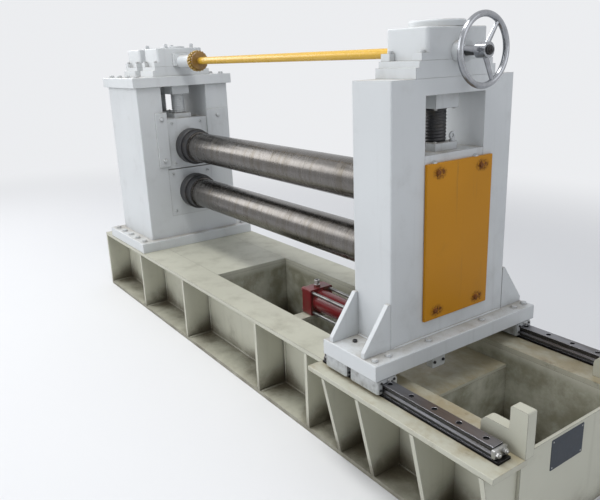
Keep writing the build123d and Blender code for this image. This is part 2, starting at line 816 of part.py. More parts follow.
# Outer chocks: their bores open towards the arbors, so the journals can leave them
journal_bore_depth = journal_length - arbor_end_gap + journal_end_gap
with BuildPart() as lower_chock_outer:
    with BuildSketch(across(outer_face_x)):
        with Locations((0, window_floor_z)):
            Rectangle(2 * window_half, chock_split_z - window_floor_z, align=(Align.CENTER, Align.MIN))
    extrude(amount=outer_depth)
    with BuildSketch(across(outer_face_x)):
        with Locations((0, arbor_low_z)):
            Circle(journal_r + journal_gap)
    extrude(amount=journal_bore_depth, mode=Mode.SUBTRACT)
save(lower_chock_outer.part, "lower_chock_outer")

with BuildPart() as upper_chock_outer:
    with BuildSketch(across(outer_face_x + chock_side_gap)):
        with Locations((0, upper_chock_z)):
            Rectangle(2 * chock_half, upper_chock_h, align=(Align.CENTER, Align.MIN))
    extrude(amount=outer_depth - 2 * chock_side_gap)
    with BuildSketch(across(outer_face_x)):
        with Locations((0, arbor_high_z)):
            Circle(journal_r + journal_gap)
    extrude(amount=journal_bore_depth, mode=Mode.SUBTRACT)
    with BuildSketch(Plane.XY.offset(upper_chock_top_z)):
        with Locations((outer_jack_x, 0)):
            Rectangle(2 * retainer_half, 2 * retainer_half)
    extrude(amount=retainer_h)
save(upper_chock_outer.part, "upper_chock_outer")

with BuildPart() as outer_lift_screw:
    with BuildSketch(Plane.XY.offset(screw_floor_z)):
        with Locations((outer_jack_x, 0)):
            Circle(screw_r)
    extrude(amount=screw_top_z - screw_floor_z)
    chamfer(outer_lift_screw.edges().group_by(Axis.Z)[-1], length=3)
save(outer_lift_screw.part, "outer_lift_screw")

with BuildPart() as outer_screw_nut:
    with BuildSketch(Plane.XY.offset(outer_window_top_z - nut_h)):
        with Locations((outer_jack_x, 0)):
            Rectangle(2 * nut_half, 2 * nut_half)
            Circle(screw_r + screw_gap, mode=Mode.SUBTRACT)
    extrude(amount=nut_h)
save(outer_screw_nut.part, "outer_screw_nut")

with BuildPart() as outer_jack_plate:
    with BuildSketch(Plane.XY.offset(stand_top_z)):
        with Locations((outer_jack_x, 0)):
            Rectangle(outer_depth, 2 * outer_plate_half)
    extrude(amount=jack_plate_h)
    with BuildSketch(Plane.XY.offset(jack_plate_top_z)):
        with Locations((outer_jack_x, 0)):
            Rectangle(outer_depth, 2 * (outer_plate_half - jack_neck_inset))
    extrude(amount=jack_neck_h)
    with BuildSketch(Plane.XY.offset(stand_top_z)):
        with Locations((outer_jack_x, 0)):
            Circle(screw_r + screw_gap)
    extrude(amount=jack_plate_h + jack_neck_h, mode=Mode.SUBTRACT)
save(outer_jack_plate.part, "outer_jack_plate")

# Outer gearbox: closed housing with a gland towards the tube and a boss towards the wheel
with BuildPart() as outer_gearbox:
    with BuildSketch(Plane.XY.offset(gearbox_z)):
        with Locations((outer_jack_x, 0)):
            RectangleRounded(outer_depth, 2 * gearbox_half, gearbox_corner)
    extrude(amount=gearbox_h)
    fillet(outer_gearbox.edges().group_by(Axis.Z)[-1], radius=5)
    with BuildSketch(Plane.XY.offset(gearbox_z)):
        with Locations((outer_jack_x, 0)):
            with GridLocations(outer_depth - gearbox_foot_length, 2 * gearbox_half, 2, 2):
                Rectangle(gearbox_foot_length, 2 * gearbox_foot_w)
    extrude(amount=gearbox_foot_h)
    with BuildSketch(across(outer_front_x)):
        with Locations((0, shaft_z)):
            Circle(wheel_boss_r)
    extrude(amount=wheel_boss_t)
    with BuildSketch(across(outer_face_x)):
        with Locations((0, shaft_z)):
            Circle(gland_r)
    extrude(amount=-gland_t)
    with BuildSketch(across(outer_jack_x)):
        with Locations((0, shaft_z)):
            Circle(drive_r + journal_gap)
    extrude(amount=outer_depth, both=True, mode=Mode.SUBTRACT)
save(outer_gearbox.part, "outer_gearbox")

with BuildPart() as outer_screw_cap:
    with BuildSketch(Plane.XY.offset(gearbox_top_z)):
        with Locations((outer_jack_x, 0)):
            Circle(screw_cap_r)
    extrude(amount=screw_cap_h)
    fillet(outer_screw_cap.edges().group_by(Axis.Z)[-1], radius=8)
save(outer_screw_cap.part, "outer_screw_cap")

with BuildPart() as cover_panel:
    with BuildSketch(across(outer_front_x)):
        with Locations(((panel_right - panel_left) / 2, panel_floor_z)):
            Rectangle(panel_left + panel_right, panel_h, align=(Align.CENTER, Align.MIN))
    extrude(amount=panel_t)
    chamfer(cover_panel.faces().sort_by(Axis.X)[-1].edges(), length=2)
save(cover_panel.part, "cover_panel")

with BuildPart() as rod_bracket:
    with BuildSketch(across(bracket_x)):
        with Locations((0, cyl_axis_z - bracket_drop)):
            Rectangle(bracket_w, carriage_z - cyl_axis_z + bracket_drop, align=(Align.CENTER, Align.MIN))
    extrude(amount=bracket_t)
    fillet(rod_bracket.edges().filter_by(Axis.X).group_by(Axis.Z)[0], radius=8)
save(rod_bracket.part, "rod_bracket")

piston_x = cyl_rear_x + cyl_cap_t + piston_gap
with BuildPart() as cylinder_rod:
    with BuildSketch(across(piston_x)):
        with Locations((0, cyl_axis_z)):
            Circle(cyl_bore_r - rod_gap)
    extrude(amount=piston_t)
    with BuildSketch(across(piston_x + piston_t)):
        with Locations((0, cyl_axis_z)):
            Circle(rod_r)
    extrude(amount=bracket_x - piston_x - piston_t)
save(cylinder_rod.part, "cylinder_rod")

# Handwheel: round rim, three spokes and a hub on the bar that drives the shaft
with BuildPart() as handwheel:
    with BuildSketch(Plane.XZ):
        with Locations((wheel_x, shaft_z + wheel_r - wheel_rim_r)):
            Circle(wheel_rim_r)
    revolve(axis=Axis((0, 0, shaft_z), (1, 0, 0)))
    with BuildSketch(across(wheel_x)):
        with Locations((0, shaft_z)):
            Circle(wheel_hub_r)
    extrude(amount=wheel_hub_t / 2, both=True)
    for number in range(wheel_spokes):
        outward = Vector(0, 1, 0).rotate(Axis.X, wheel_first_spoke + 360 * number / wheel_spokes)
        spoke_plane = Plane(origin=(wheel_x, 0, shaft_z), x_dir=(1, 0, 0), z_dir=outward)
        with BuildSketch(spoke_plane.offset(wheel_hub_r / 2)):
            Ellipse(wheel_spoke_r * 0.8, wheel_spoke_r * 1.3)
        with BuildSketch(spoke_plane.offset(wheel_r - wheel_rim_r)):
            Ellipse(wheel_spoke_r * 0.7, wheel_spoke_r * 0.8)
        loft()
    with BuildSketch(across(wheel_x - wheel_hub_t / 2)):
        with Locations((0, shaft_z)):
            Circle(drive_r)
    extrude(amount=wheel_hub_t, mode=Mode.SUBTRACT)
save(handwheel.part, "handwheel")

with BuildPart() as drive_bar:
    with BuildSketch(across(outer_face_x - drive_reach)):
        with Locations((0, shaft_z)):
            Circle(drive_r)
    extrude(amount=wheel_x + wheel_hub_t / 2 + drive_lip - outer_face_x + drive_reach)
    chamfer(drive_bar.edges().filter_by(GeomType.CIRCLE), length=2)
save(drive_bar.part, "drive_bar")
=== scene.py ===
"""Coil slitting machine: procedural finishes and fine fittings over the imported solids."""

import math

import bmesh
import bpy
import numpy as np
from bpy.props import FloatProperty, FloatVectorProperty, IntProperty, PointerProperty
from mathutils import Matrix, Vector


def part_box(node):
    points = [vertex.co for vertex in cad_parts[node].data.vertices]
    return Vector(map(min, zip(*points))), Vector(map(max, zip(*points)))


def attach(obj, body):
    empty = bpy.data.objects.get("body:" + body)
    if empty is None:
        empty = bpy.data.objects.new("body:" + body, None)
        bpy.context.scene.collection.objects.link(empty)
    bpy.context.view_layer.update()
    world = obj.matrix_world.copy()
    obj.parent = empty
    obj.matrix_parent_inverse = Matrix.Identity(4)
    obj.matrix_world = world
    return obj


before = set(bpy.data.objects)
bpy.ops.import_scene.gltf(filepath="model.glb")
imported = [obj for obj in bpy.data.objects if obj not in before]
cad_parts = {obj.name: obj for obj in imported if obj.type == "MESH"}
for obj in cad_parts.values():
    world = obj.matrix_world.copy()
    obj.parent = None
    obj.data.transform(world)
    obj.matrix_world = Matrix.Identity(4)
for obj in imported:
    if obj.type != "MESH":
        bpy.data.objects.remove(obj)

bl_info = {
    "name": "Coil slitting machine",
    "version": (1, 0, 0),
    "blender": (4, 5, 0),
    "location": "View3D > Sidebar > Slitter",
    "description": "Finishes and fine fittings of a coil slitting machine, and its studio",
    "category": "Object",
}


def colour(name, description, default):
    """A linear colour property."""
    return FloatVectorProperty(name=name, description=description, default=default, subtype="COLOR", size=3,
                               min=0.0, max=1.0)


def length(name, description, default):
    """A length property in metres."""
    return FloatProperty(name=name, description=description, default=default, min=0.0, unit="LENGTH",
                         precision=4)


class SlitterColours(bpy.types.PropertyGroup):
    """Base colours of the finishes."""

    stand: colour("Stand paint", "Pale grey enamel of both stands and the jacks", (0.60, 0.62, 0.625))
    # The base paint is darker and yellower than the stand paint, partly its own cream and partly painted
    # shade
    base: colour("Base paint", "Warmer cream enamel of the fabricated base", (0.50, 0.495, 0.405))
    grime: colour("Grime", "Brown dust and oil on the enamel", (0.10, 0.080, 0.048))
    primer: colour("Bare edge", "Metal that shows where enamel has chipped", (0.16, 0.14, 0.12))
    tan: colour("Oil stain", "Tan stain round the rails", (0.33, 0.275, 0.165))
    yellow: colour("Cover panel", "Orange yellow enamel of the cover panel", (0.54, 0.232, 0.005))
    shaft: colour("Shaft paint", "Yellow enamel of the shaft between the jacks", (0.62, 0.375, 0.035))
    rust: colour("Rust", "Rust round the panel's bolts", (0.185, 0.062, 0.007))
    red: colour("Cylinder paint", "Red enamel of the hydraulic cylinder", (0.160, 0.013, 0.016))
    arbor: colour("Arbor steel", "Ground and oiled steel of the arbors", (0.150, 0.141, 0.133))
    rail: colour("Rail steel", "Ground steel of the profile rails", (0.30, 0.30, 0.32))
    black: colour("Blackened steel", "Oiled black oxide steel", (0.020, 0.020, 0.022))
    chrome: colour("Chrome", "Dull plating of the handwheel and rod", (0.36, 0.37, 0.39))
    zinc: colour("Zinc", "Plated screws and nuts", (0.44, 0.44, 0.43))
    dust: colour("Dust", "Pale dust that lies on ledges", (0.33, 0.295, 0.240))
    # These two colours paint shade as well as oil and dirt: they darken the inside and the low corners of the
    # base
    pit: colour("Pit oil", "Olive oil film on the inside walls of the base", (0.150, 0.142, 0.082))
    sludge: colour("Sludge", "Dark dirt at the foot of the bays", (0.060, 0.045, 0.022))
    grease: colour("Grease", "Brown grease at the coupling", (0.13, 0.060, 0.016))
    plate: colour("Name plate", "Bare dark plate on the front end", (0.020, 0.028, 0.040))


class SlitterSizes(bpy.types.PropertyGroup):
    """Sizes of the fine fittings."""

    bolt: length("Bolt head", "Radius of the stands' hexagon heads across the corners", 0.0125)
    screw: length("Screw head", "Radius of the socket screws", 0.0090)
    weld: length("Weld leg", "Leg of the fillet welds on the base", 0.0065)
    ripple: length("Weld ripple", "Spacing of the ripples along a weld", 0.0085)
    pitch: length("Thread pitch", "Pitch of the lift screws", 0.0120)
    thread: length("Thread height", "Height of the lift screws' thread", 0.0026)
    seal: length("Seal", "Thickness of the seals on the rail blocks", 0.0060)
    plate_width: length("Plate width", "Width of the bare plate on the front end", 0.1730)
    plate_height: length("Plate height", "Height of the bare plate on the front end", 0.1110)
    facets: IntProperty(name="Facets", description="Points round each small turned fitting", default=24,
                        min=12, max=96)


class SlitterStage(bpy.types.PropertyGroup):
    """The studio round the machine."""

    floor: colour("Floor", "Pale floor", (0.78, 0.78, 0.78))
    backdrop: colour("Backdrop", "Backdrop that the camera sees", (0.84, 0.85, 0.87))
    ambient: colour("Ambient", "Soft light from all round", (0.41, 0.43, 0.47))
    radius: length("Floor radius", "Radius of the floor", 40.0)
    eye: FloatVectorProperty(name="Eye", description="Place of the camera", default=(2.7055, -1.7545, 1.5551),
                             size=3, subtype="TRANSLATION", unit="LENGTH")
    azimuth: FloatProperty(name="Azimuth", description="Turn of the view from +Y towards -X",
                           default=math.radians(55.64), subtype="ANGLE")
    pitch: FloatProperty(name="Pitch", description="How far the view looks down", default=math.radians(17.04),
                         subtype="ANGLE")
    roll: FloatProperty(name="Roll", description="Tilt of the picture", default=math.radians(-2.37),
                        subtype="ANGLE")
    lens: FloatProperty(name="Lens", description="Focal length on a 36 mm sensor", default=38.03,
                        unit="CAMERA")


COLOURS, SIZES, STAGE = "slitter_colours", "slitter_sizes", "slitter_stage"
GROUPS = {COLOURS: SlitterColours, SIZES: SlitterSizes, STAGE: SlitterStage}

# Most fittings start this far under the face that they sit on
SUNK = -0.001


def grid_faces(rows, columns, wrap):
    """Quads over a rows x columns grid of points; wrap joins the last column to the first."""
    down = np.arange(rows - 1)[:, None] * columns
    across = np.arange(columns if wrap else columns - 1)
    after = (across + 1) % columns
    below = down + columns
    corners = np.stack([down + across, down + after, below + after, below + across], axis=-1)
    return corners.reshape(-1, 4)


def turned(profile, facets):
    """A closed turned solid about +Z: rows of (radius, height, hexagon), with the corner radius kept.

    r(t) = radius * (1 - hexagon + hexagon * cos(30) / cos(((t + 30) mod 60) - 30)), in degrees."""
    radius, height, hexagon = np.array(profile, float).T
    turn = np.arange(facets) * 2 * np.pi / facets
    sixth = (turn + np.pi / 6) % (np.pi / 3) - np.pi / 6
    flat = np.cos(np.pi / 6) / np.cos(sixth)
    reach = radius[:, None] * (1 - hexagon[:, None] + hexagon[:, None] * flat)
    level = np.repeat(height[:, None], facets, 1)
    points = np.stack([reach * np.cos(turn), reach * np.sin(turn), level], axis=-1)
    return points.reshape(-1, 3), grid_faces(len(radius), facets, True)


def hexagon_head(radius, facets):
    """A washer with a hexagon head on it, chamfered and slightly domed, along +Z from its seat."""
    return turned([(0, SUNK, 0), (1.18 * radius, SUNK, 0), (1.22 * radius, 0.08 * radius, 0),
                   (1.16 * radius, 0.16 * radius, 0), (1.0 * radius, 0.16 * radius, 1),
                   (1.0 * radius, 0.66 * radius, 1), (0.90 * radius, 0.78 * radius, 0.4),
                   (0.50 * radius, 0.83 * radius, 0), (0, 0.84 * radius, 0)], facets)


def socket_head(radius, facets):
    """A cap screw's head with a hexagon socket sunk in it."""
    return turned([(0, SUNK, 0), (radius, SUNK, 0), (radius, 0.80 * radius, 0),
                   (0.90 * radius, 0.92 * radius, 0), (0.60 * radius, 0.92 * radius, 0),
                   (0.55 * radius, 0.88 * radius, 1), (0.55 * radius, 0.30 * radius, 1),
                   (0, 0.22 * radius, 0)], facets)


def nut_on_stud(radius, facets):
    """A hexagon nut with a stud's rounded end standing out of it."""
    return turned([(0, SUNK, 0), (1.10 * radius, SUNK, 0), (1.10 * radius, 0.10 * radius, 0),
                   (radius, 0.10 * radius, 1), (radius, 0.80 * radius, 1), (0.86 * radius, 0.92 * radius, 0),
                   (0.52 * radius, 0.92 * radius, 0), (0.52 * radius, 1.20 * radius, 0),
                   (0.40 * radius, 1.32 * radius, 0), (0, 1.34 * radius, 0)], facets)


def placed(template, origins, axis):
    """Copies of a template with its +Z turned to axis, one at each origin, as whole arrays."""
    points, faces = template
    turn = np.array(Vector((0, 0, 1)).rotation_difference(Vector(axis)).to_matrix())
    origins = np.array(origins, float)
    many = (points @ turn.T)[None] + origins[:, None]
    shift = np.arange(len(origins))[:, None, None] * len(points)
    return many.reshape(-1, 3), (faces[None] + shift).reshape(-1, 4)


def joined(*parts):
    """Several meshes, each points and faces, as one."""
    start = np.cumsum([0] + [len(points) for points, _ in parts[:-1]])
    return (np.concatenate([points for points, _ in parts]),
            np.concatenate([faces + shift for (_, faces), shift in zip(parts, start)]))


def ring(centre, radius, tube, around=28, across=12):
    """A ring that stands upright, square to the X axis.

    P(s, t) = centre + (radius + tube cos t) (0, cos s, sin s) + tube sin t (1, 0, 0)."""
    s = np.linspace(0, 2 * np.pi, around + 1)[:, None]
    t = np.arange(across) * 2 * np.pi / across
    reach = radius + tube * np.cos(t)
    points = np.stack([tube * np.sin(t) + 0 * s, reach * np.cos(s), reach * np.sin(s)], axis=-1)
    return points.reshape(-1, 3) + np.array(centre, float), grid_faces(around + 1, across, True)


def fillet_weld(start, end, side_a, side_b, leg, ripple):
    """A fillet weld's bead in the corner of two plates, closed, its ends drawn to a point.

    P(s, t) = start + s (end - start) + w(s) (a cos t + b sin t), t from 0 to 90 degrees,
    w(s) = leg sqrt(1 - (2 s - 1)^12) (1 + 0.10 cos(2 pi s length / ripple)). A last line, 0.15 w inside
    the corner, closes it."""
    start, end, a, b = (np.array(v, float) for v in (start, end, side_a, side_b))
    run = np.linalg.norm(end - start)
    s = np.linspace(0, 1, max(8, int(4 * run / ripple)))
    drawn = np.sqrt(np.maximum(0, 1 - (2 * s - 1) ** 12))
    width = leg * drawn * (1 + 0.10 * np.cos(2 * np.pi * s * run / ripple))
    t = np.linspace(0, np.pi / 2, 4)
    bead = np.concatenate([np.cos(t)[:, None] * a + np.sin(t)[:, None] * b, -0.15 * (a + b)[None]])
    line = start + s[:, None] * (end - start)
    points = line[:, None] + width[:, None, None] * bead
    return points.reshape(-1, 3), grid_faces(len(s), len(bead), True)


def thread(centre, root, height, pitch, low, high, around=48):
    """A screw thread's sleeve about +Z, plain at both ends and closed on its inside.

    r(t, z) = root + height * min(1, max(0, 1.2 - 2.6 |frac(z / pitch - t / 2 pi) - 1/2|))."""
    z = np.linspace(low, high, int(10 * (high - low) / pitch))
    turn = np.arange(around) * 2 * np.pi / around
    phase = (z[:, None] / pitch - turn / (2 * np.pi)) % 1.0
    reach = root + height * np.clip(1.2 - 2.6 * np.abs(phase - 0.5), 0, 1)
    reach[[0, -1]] = root
    outer = np.stack([centre[0] + reach * np.cos(turn), centre[1] + reach * np.sin(turn),
                      np.repeat(z[:, None], around, 1)], axis=-1)
    hollow = 0.8 * root
    inner = outer[[-1, 0]].copy()
    inner[..., 0] = centre[0] + hollow * np.cos(turn)
    inner[..., 1] = centre[1] + hollow * np.sin(turn)
    points = np.concatenate([outer, inner, outer[:1]])
    return points.reshape(-1, 3), grid_faces(len(points), around, True)


def swept_outline(outline, low, high, rim=0.0015):
    """A plate with an outline of (x, y) points, from height low to high, its top rim eased by rim. Closed."""
    outline = np.array(outline, float)
    middle = outline.mean(0)
    reach = np.linalg.norm(outline - middle, axis=1, keepdims=True)
    eased = middle + (outline - middle) * (1 - rim / reach)
    levels = [(middle + 0 * outline, low), (outline, low), (outline, high - rim), (eased, high),
              (middle + 0 * outline, high)]
    points = np.concatenate([np.column_stack([line, np.full(len(line), z)]) for line, z in levels])
    return points, grid_faces(len(levels), len(outline), True)


def rounded_box(width, height, corner, steps=6):
    """Outline of a rectangle about the origin, each of its corners a quarter of a circle."""
    t = np.linspace(0, np.pi / 2, steps)
    points = [(sx * (width / 2 - corner) + corner * np.cos(t + turn),
               sy * (height / 2 - corner) + corner * np.sin(t + turn))
              for sx, sy, turn in ((1, 1, 0), (-1, 1, np.pi / 2), (-1, -1, np.pi), (1, -1, 3 * np.pi / 2))]
    return np.concatenate([np.stack(point, axis=1) for point in points])


def stood(mesh, origin, across, up):
    """A mesh drawn in (across, up, outward) put at origin, with outward square to both."""
    points, faces = mesh
    across, up = np.array(across, float), np.array(up, float)
    axes = np.stack([across, up, np.cross(across, up)])
    return points @ axes + np.array(origin, float), faces


def add_piece(name, body, material, mesh, smooth=35):
    """A new object from points and quads: welded, normals out, shaded smooth up to an angle in degrees."""
    points, faces = mesh
    data = bpy.data.meshes.new(name)
    data.vertices.add(len(points))
    data.vertices.foreach_set("co", np.ascontiguousarray(points, np.float32).ravel())
    data.loops.add(faces.size)
    data.loops.foreach_set("vertex_index", faces.astype(np.int32).ravel())
    data.polygons.add(len(faces))
    data.polygons.foreach_set("loop_start", np.arange(len(faces), dtype=np.int32) * 4)
    data.update(calc_edges=True)
    data.validate()
    work = bmesh.new()
    work.from_mesh(data)
    bmesh.ops.remove_doubles(work, verts=work.verts, dist=1e-6)
    bmesh.ops.dissolve_degenerate(work, edges=work.edges, dist=1e-7)
    bmesh.ops.recalc_face_normals(work, faces=work.faces)
    work.to_mesh(data)
    work.free()
    data.polygons.foreach_set("use_smooth", np.ones(len(data.polygons), bool))
    data.set_sharp_from_angle(angle=math.radians(smooth))
    piece = bpy.data.objects.new(name, data)
    bpy.context.scene.collection.objects.link(piece)
    data.materials.append(material)
    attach(piece, body)
    return piece


class Term:
    """A value in a shader, written as arithmetic; numbers and tuples become the sockets' own values."""

    def __init__(self, tree, socket):
        self.tree, self.socket = tree, socket

    def node(self, kind, output, inputs, **settings):
        """Adds any node, fills its inputs by name or number, and returns one of its outputs."""
        fresh = self.tree.nodes.new(kind)
        for name, value in settings.items():
            setattr(fresh, name, value)
        for name, value in inputs.items():
            if isinstance(value, Term):
                self.tree.links.new(value.socket, fresh.inputs[name])
            else:
                fresh.inputs[name].default_value = value
        return Term(self.tree, fresh.outputs[output])

    def _sum(self, operation, first, second):
        """One step of arithmetic, on vectors where either value is one."""
        vectors = [v for v in (first, second)
                   if isinstance(v, tuple) or getattr(v, "socket", None) and v.socket.type == "VECTOR"]
        kind = "ShaderNodeVectorMath" if vectors else "ShaderNodeMath"
        values = [(v,) * 3 if vectors and isinstance(v, (int, float)) else v for v in (first, second)]
        return self.node(kind, 0, {0: values[0], 1: values[1]}, operation=operation)

    def __add__(self, other):
        return self._sum("ADD", self, other)

    def __radd__(self, other):
        return self._sum("ADD", other, self)

    def __sub__(self, other):
        return self._sum("SUBTRACT", self, other)

    def __rsub__(self, other):
        return self._sum("SUBTRACT", other, self)

    def __mul__(self, other):
        return self._sum("MULTIPLY", self, other)

    def __rmul__(self, other):
        return self._sum("MULTIPLY", other, self)

    def __truediv__(self, other):
        return self._sum("DIVIDE", self, other)

    def __rtruediv__(self, other):
        return self._sum("DIVIDE", other, self)

    def __abs__(self):
        return self.node("ShaderNodeMath", 0, {0: self}, operation="ABSOLUTE")


def noise(place, scale, detail=3.0, rough=0.5):
    """Fractal noise from 0 to 1 at a place."""
    return place.node("ShaderNodeTexNoise", 0,
                      {"Vector": place, "Scale": scale, "Detail": detail, "Roughness": rough})


def span(value, low, high):
    """0 at low and 1 at high, eased between them and held outside."""
    return value.node("ShaderNodeMapRange", "Result", {"Value": value, "From Min": low, "From Max": high},
                      interpolation_type="SMOOTHSTEP")


def tint(factor, first, second):
    """A colour that runs from the first to the second as factor goes from 0 to 1."""
    shades = [tuple(v) + (1.0,) if not isinstance(v, Term) else v for v in (first, second)]
    return factor.node("ShaderNodeMix", 2, {0: factor, 6: shades[0], 7: shades[1]}, data_type="RGBA",
                       clamp_factor=True)


def between(value, low, high, blur):
    """1 from low to high, and 0 outside, eased over blur inside both ends."""
    return span(value, low, low + blur) * (1.0 - span(value, high - blur, high))


def scaled(shade, factor):
    """A colour made darker or lighter by a factor, up to full white."""
    return tuple(min(1.0, factor * channel) for channel in shade)


def mottled(place, scale, detail, paint, dark):
    """A colour in soft patches, down to dark times itself."""
    return tint(span(noise(place, scale, detail), 0.3, 0.7), scaled(paint, dark), paint)


def bump(height, strength, distance, under=None):
    """A normal that follows a height, over another normal if one is given."""
    inputs = {"Height": height, "Strength": strength, "Distance": distance}
    if under is not None:
        inputs["Normal"] = under
    return height.node("ShaderNodeBump", "Normal", inputs)


class Coat:
    """A material in the making: its Principled shader, and the terms that every finish starts from."""

    def __init__(self, name, **constants):
        self.material = bpy.data.materials.new(name)
        self.material.use_nodes = True
        self.tree = self.material.node_tree
        self.tree.nodes.clear()
        output = self.tree.nodes.new("ShaderNodeOutputMaterial")
        self.shader = self.tree.nodes.new("ShaderNodeBsdfPrincipled")
        self.tree.links.new(self.shader.outputs[0], output.inputs["Surface"])
        for socket, value in constants.items():
            self.shader.inputs[socket.replace("_", " ")].default_value = value
        places = self.tree.nodes.new("ShaderNodeTexCoord")
        self.place = Term(self.tree, places.outputs["Object"])
        split = self.place.node("ShaderNodeSeparateXYZ", 0, {0: self.place})
        self.x, self.y, self.z = (Term(self.tree, out) for out in split.socket.node.outputs)
        facing = Term(self.tree, places.outputs["Normal"])
        self.up = facing.node("ShaderNodeSeparateXYZ", 2, {0: facing})

    def edges(self, radius):
        """A mask of edges within radius, and the normal rounded over them."""
        soft = self.place.node("ShaderNodeBevel", "Normal", {"Radius": radius}, samples=4)
        flat = self.place.node("ShaderNodeNewGeometry", "Normal", {})
        along = soft.node("ShaderNodeVectorMath", "Value", {0: soft, 1: flat}, operation="DOT_PRODUCT")
        return span(1.0 - along, 0.02, 0.22), soft

    def flaked(self, worn, scale):
        """A mask of flakes off worn edges, in a pattern of some scale."""
        return span(worn * 0.7 + noise(self.place, scale, 5.0, 0.7) * 0.6, 0.80, 0.92)

    def corners(self, distance):
        """0 on open surfaces and 1 deep in a corner, looking distance far."""
        # Ambient occlusion: the finishes darken by it, so it paints shade into corners along with their dirt
        openness = self.place.node("ShaderNodeAmbientOcclusion", "AO", {"Distance": distance}, samples=4)
        return 1.0 - openness

    def set(self, **terms):
        """Links terms to the shader's sockets by name."""
        for socket, term in terms.items():
            self.tree.links.new(term.socket, self.shader.inputs[socket.replace("_", " ")])
        return self.material


def enamel(name, paint, grime, chip, dirty=0.5, runs=0.4, low_dirt_and_shade=0.5, chips=0.5, gloss=0.36, wash=None):
    """Sprayed enamel: broad and fine tone, dirt on ledges, darkening low down and in corners that is partly
    dirt and partly painted shade, dirt in vertical runs, chipped edges, and orange peel. A wash lays one more
    stain over the paint."""
    coat = Coat(name, Coat_Roughness=0.25)
    place = coat.place
    broad = noise(place, 1.6, 2.0)
    clouds = noise(place, 7.5, 6.0, 0.62)
    specks = noise(place, 95.0, 3.0, 0.7)
    drip = noise(place * (26.0, 26.0, 1.3), 1.0, 4.0, 0.6)
    worn, soft = coat.edges(0.004)
    ledge = span(coat.up, 0.55, 0.95)
    # Darkening near the floor and in occluded corners is partly settled dirt and partly painted shade
    near_floor = 1.0 - span(coat.z, 0.02, 0.17)
    corner = span(coat.corners(0.055), 0.12, 0.80)
    settled_dirt_and_shade = span(clouds + near_floor * low_dirt_and_shade * 0.30 + ledge * 0.10 + corner * 0.36, 0.52, 1.00)
    run = span(drip, 0.56, 0.74) * (1.0 - ledge)
    dots = span(specks, 0.66, 0.74)
    # This dirt mask also carries the painted shade of the corners and of the parts near the floor
    dirt = settled_dirt_and_shade * dirty + run * runs * 0.4 + dots * 0.16 * dirty
    shade = tint(span(broad, 0.30, 0.72), scaled(paint, 0.93), scaled(paint, 1.03))
    shade = tint(dirt * 0.70, shade, grime)
    if wash is not None:
        shade = wash(coat, clouds, shade)
    chipped = span(worn * 0.72 + noise(place, 38.0, 5.0, 0.7) * 0.62, 0.80, 0.90) * chips
    shade = tint(chipped, shade, chip)
    peel = noise(place, 420.0, 2.0)
    normal = bump(peel - chipped * 0.5 + clouds * 0.35, 0.16, 0.0009, soft)
    rough = gloss + 0.22 * dirt + 0.10 * clouds + 0.15 * chipped
    return coat.set(Base_Color=shade, Roughness=rough, Normal=normal)


def greased_end(edge, grease):
    """A wash of brown grease behind x = edge."""
    def wash(coat, clouds, shade):
        smeared = (1.0 - span(coat.x, edge, edge + 0.05)) * span(clouds, 0.20, 0.52)
        return tint(smeared * 0.92, shade, grease)
    return wash


def dusty_and_shaded_ledges(dust):
    """A wash of pale dust on what faces up, thicker in corners and broken by specks; it darkens the tops,
    partly as dust and partly as painted shade.
    """
    def wash(coat, clouds, shade):
        ledge = span(coat.up, 0.60, 0.95)
        specks = noise(coat.place, 130.0, 3.0, 0.7)
        lying = span(clouds + 0.45 * coat.corners(0.07) + 0.25 * specks, 0.46, 0.92)
        # Up-facing faces darkened: partly dust, partly painted shade
        shade = tint(ledge * lying * 0.70, shade, dust)
        return tint(ledge * span(specks + 0.30 * clouds, 0.80, 0.88) * 0.6, shade, scaled(dust, 0.25))
    return wash


def dirty_and_shaded_bays(pit, sludge):
    """Oil film and painted shade on the walls inside the base, dirt and painted shade at the foot of the
    bays.

    The inside reaches |y| = wall + WEB_STEP s(x), where s rises from 0 to 1 at the step of the webs."""
    ends_low, ends_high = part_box("cross_plates")
    rear, front = ends_low.x + 0.015, ends_high.x - 0.0105
    narrow_y, _, step_x = web_step()
    wall, top = narrow_y - BASE_WEB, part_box("side_webs")[1].z

    def wash(coat, clouds, shade):
        blots = noise(coat.place, 8.0, 5.0, 0.66)
        past_step = span(coat.x, step_x - 0.020, step_x + 0.005)
        within = 1.0 - span(abs(coat.y) - WEB_STEP * past_step, wall - 0.001, wall + 0.001)
        below = 1.0 - span(coat.z, top - 0.040, top + 0.002)
        inside = within * between(coat.x, rear, front, 0.002) * below
        # Inside the base: olive oil film together with painted shade
        shade = tint(inside * span(blots + 0.5 * clouds, 0.45, 0.95) * 0.80, shade, pit)
        # Darker at the foot of the bays and deep in occluded corners: dirt together with painted shade
        low = 1.0 - span(coat.z, 0.030, 0.200)
        return tint(low * span(coat.corners(0.17) + 0.90 * blots, 0.66, 0.98) * 0.90, shade, sludge)
    return wash


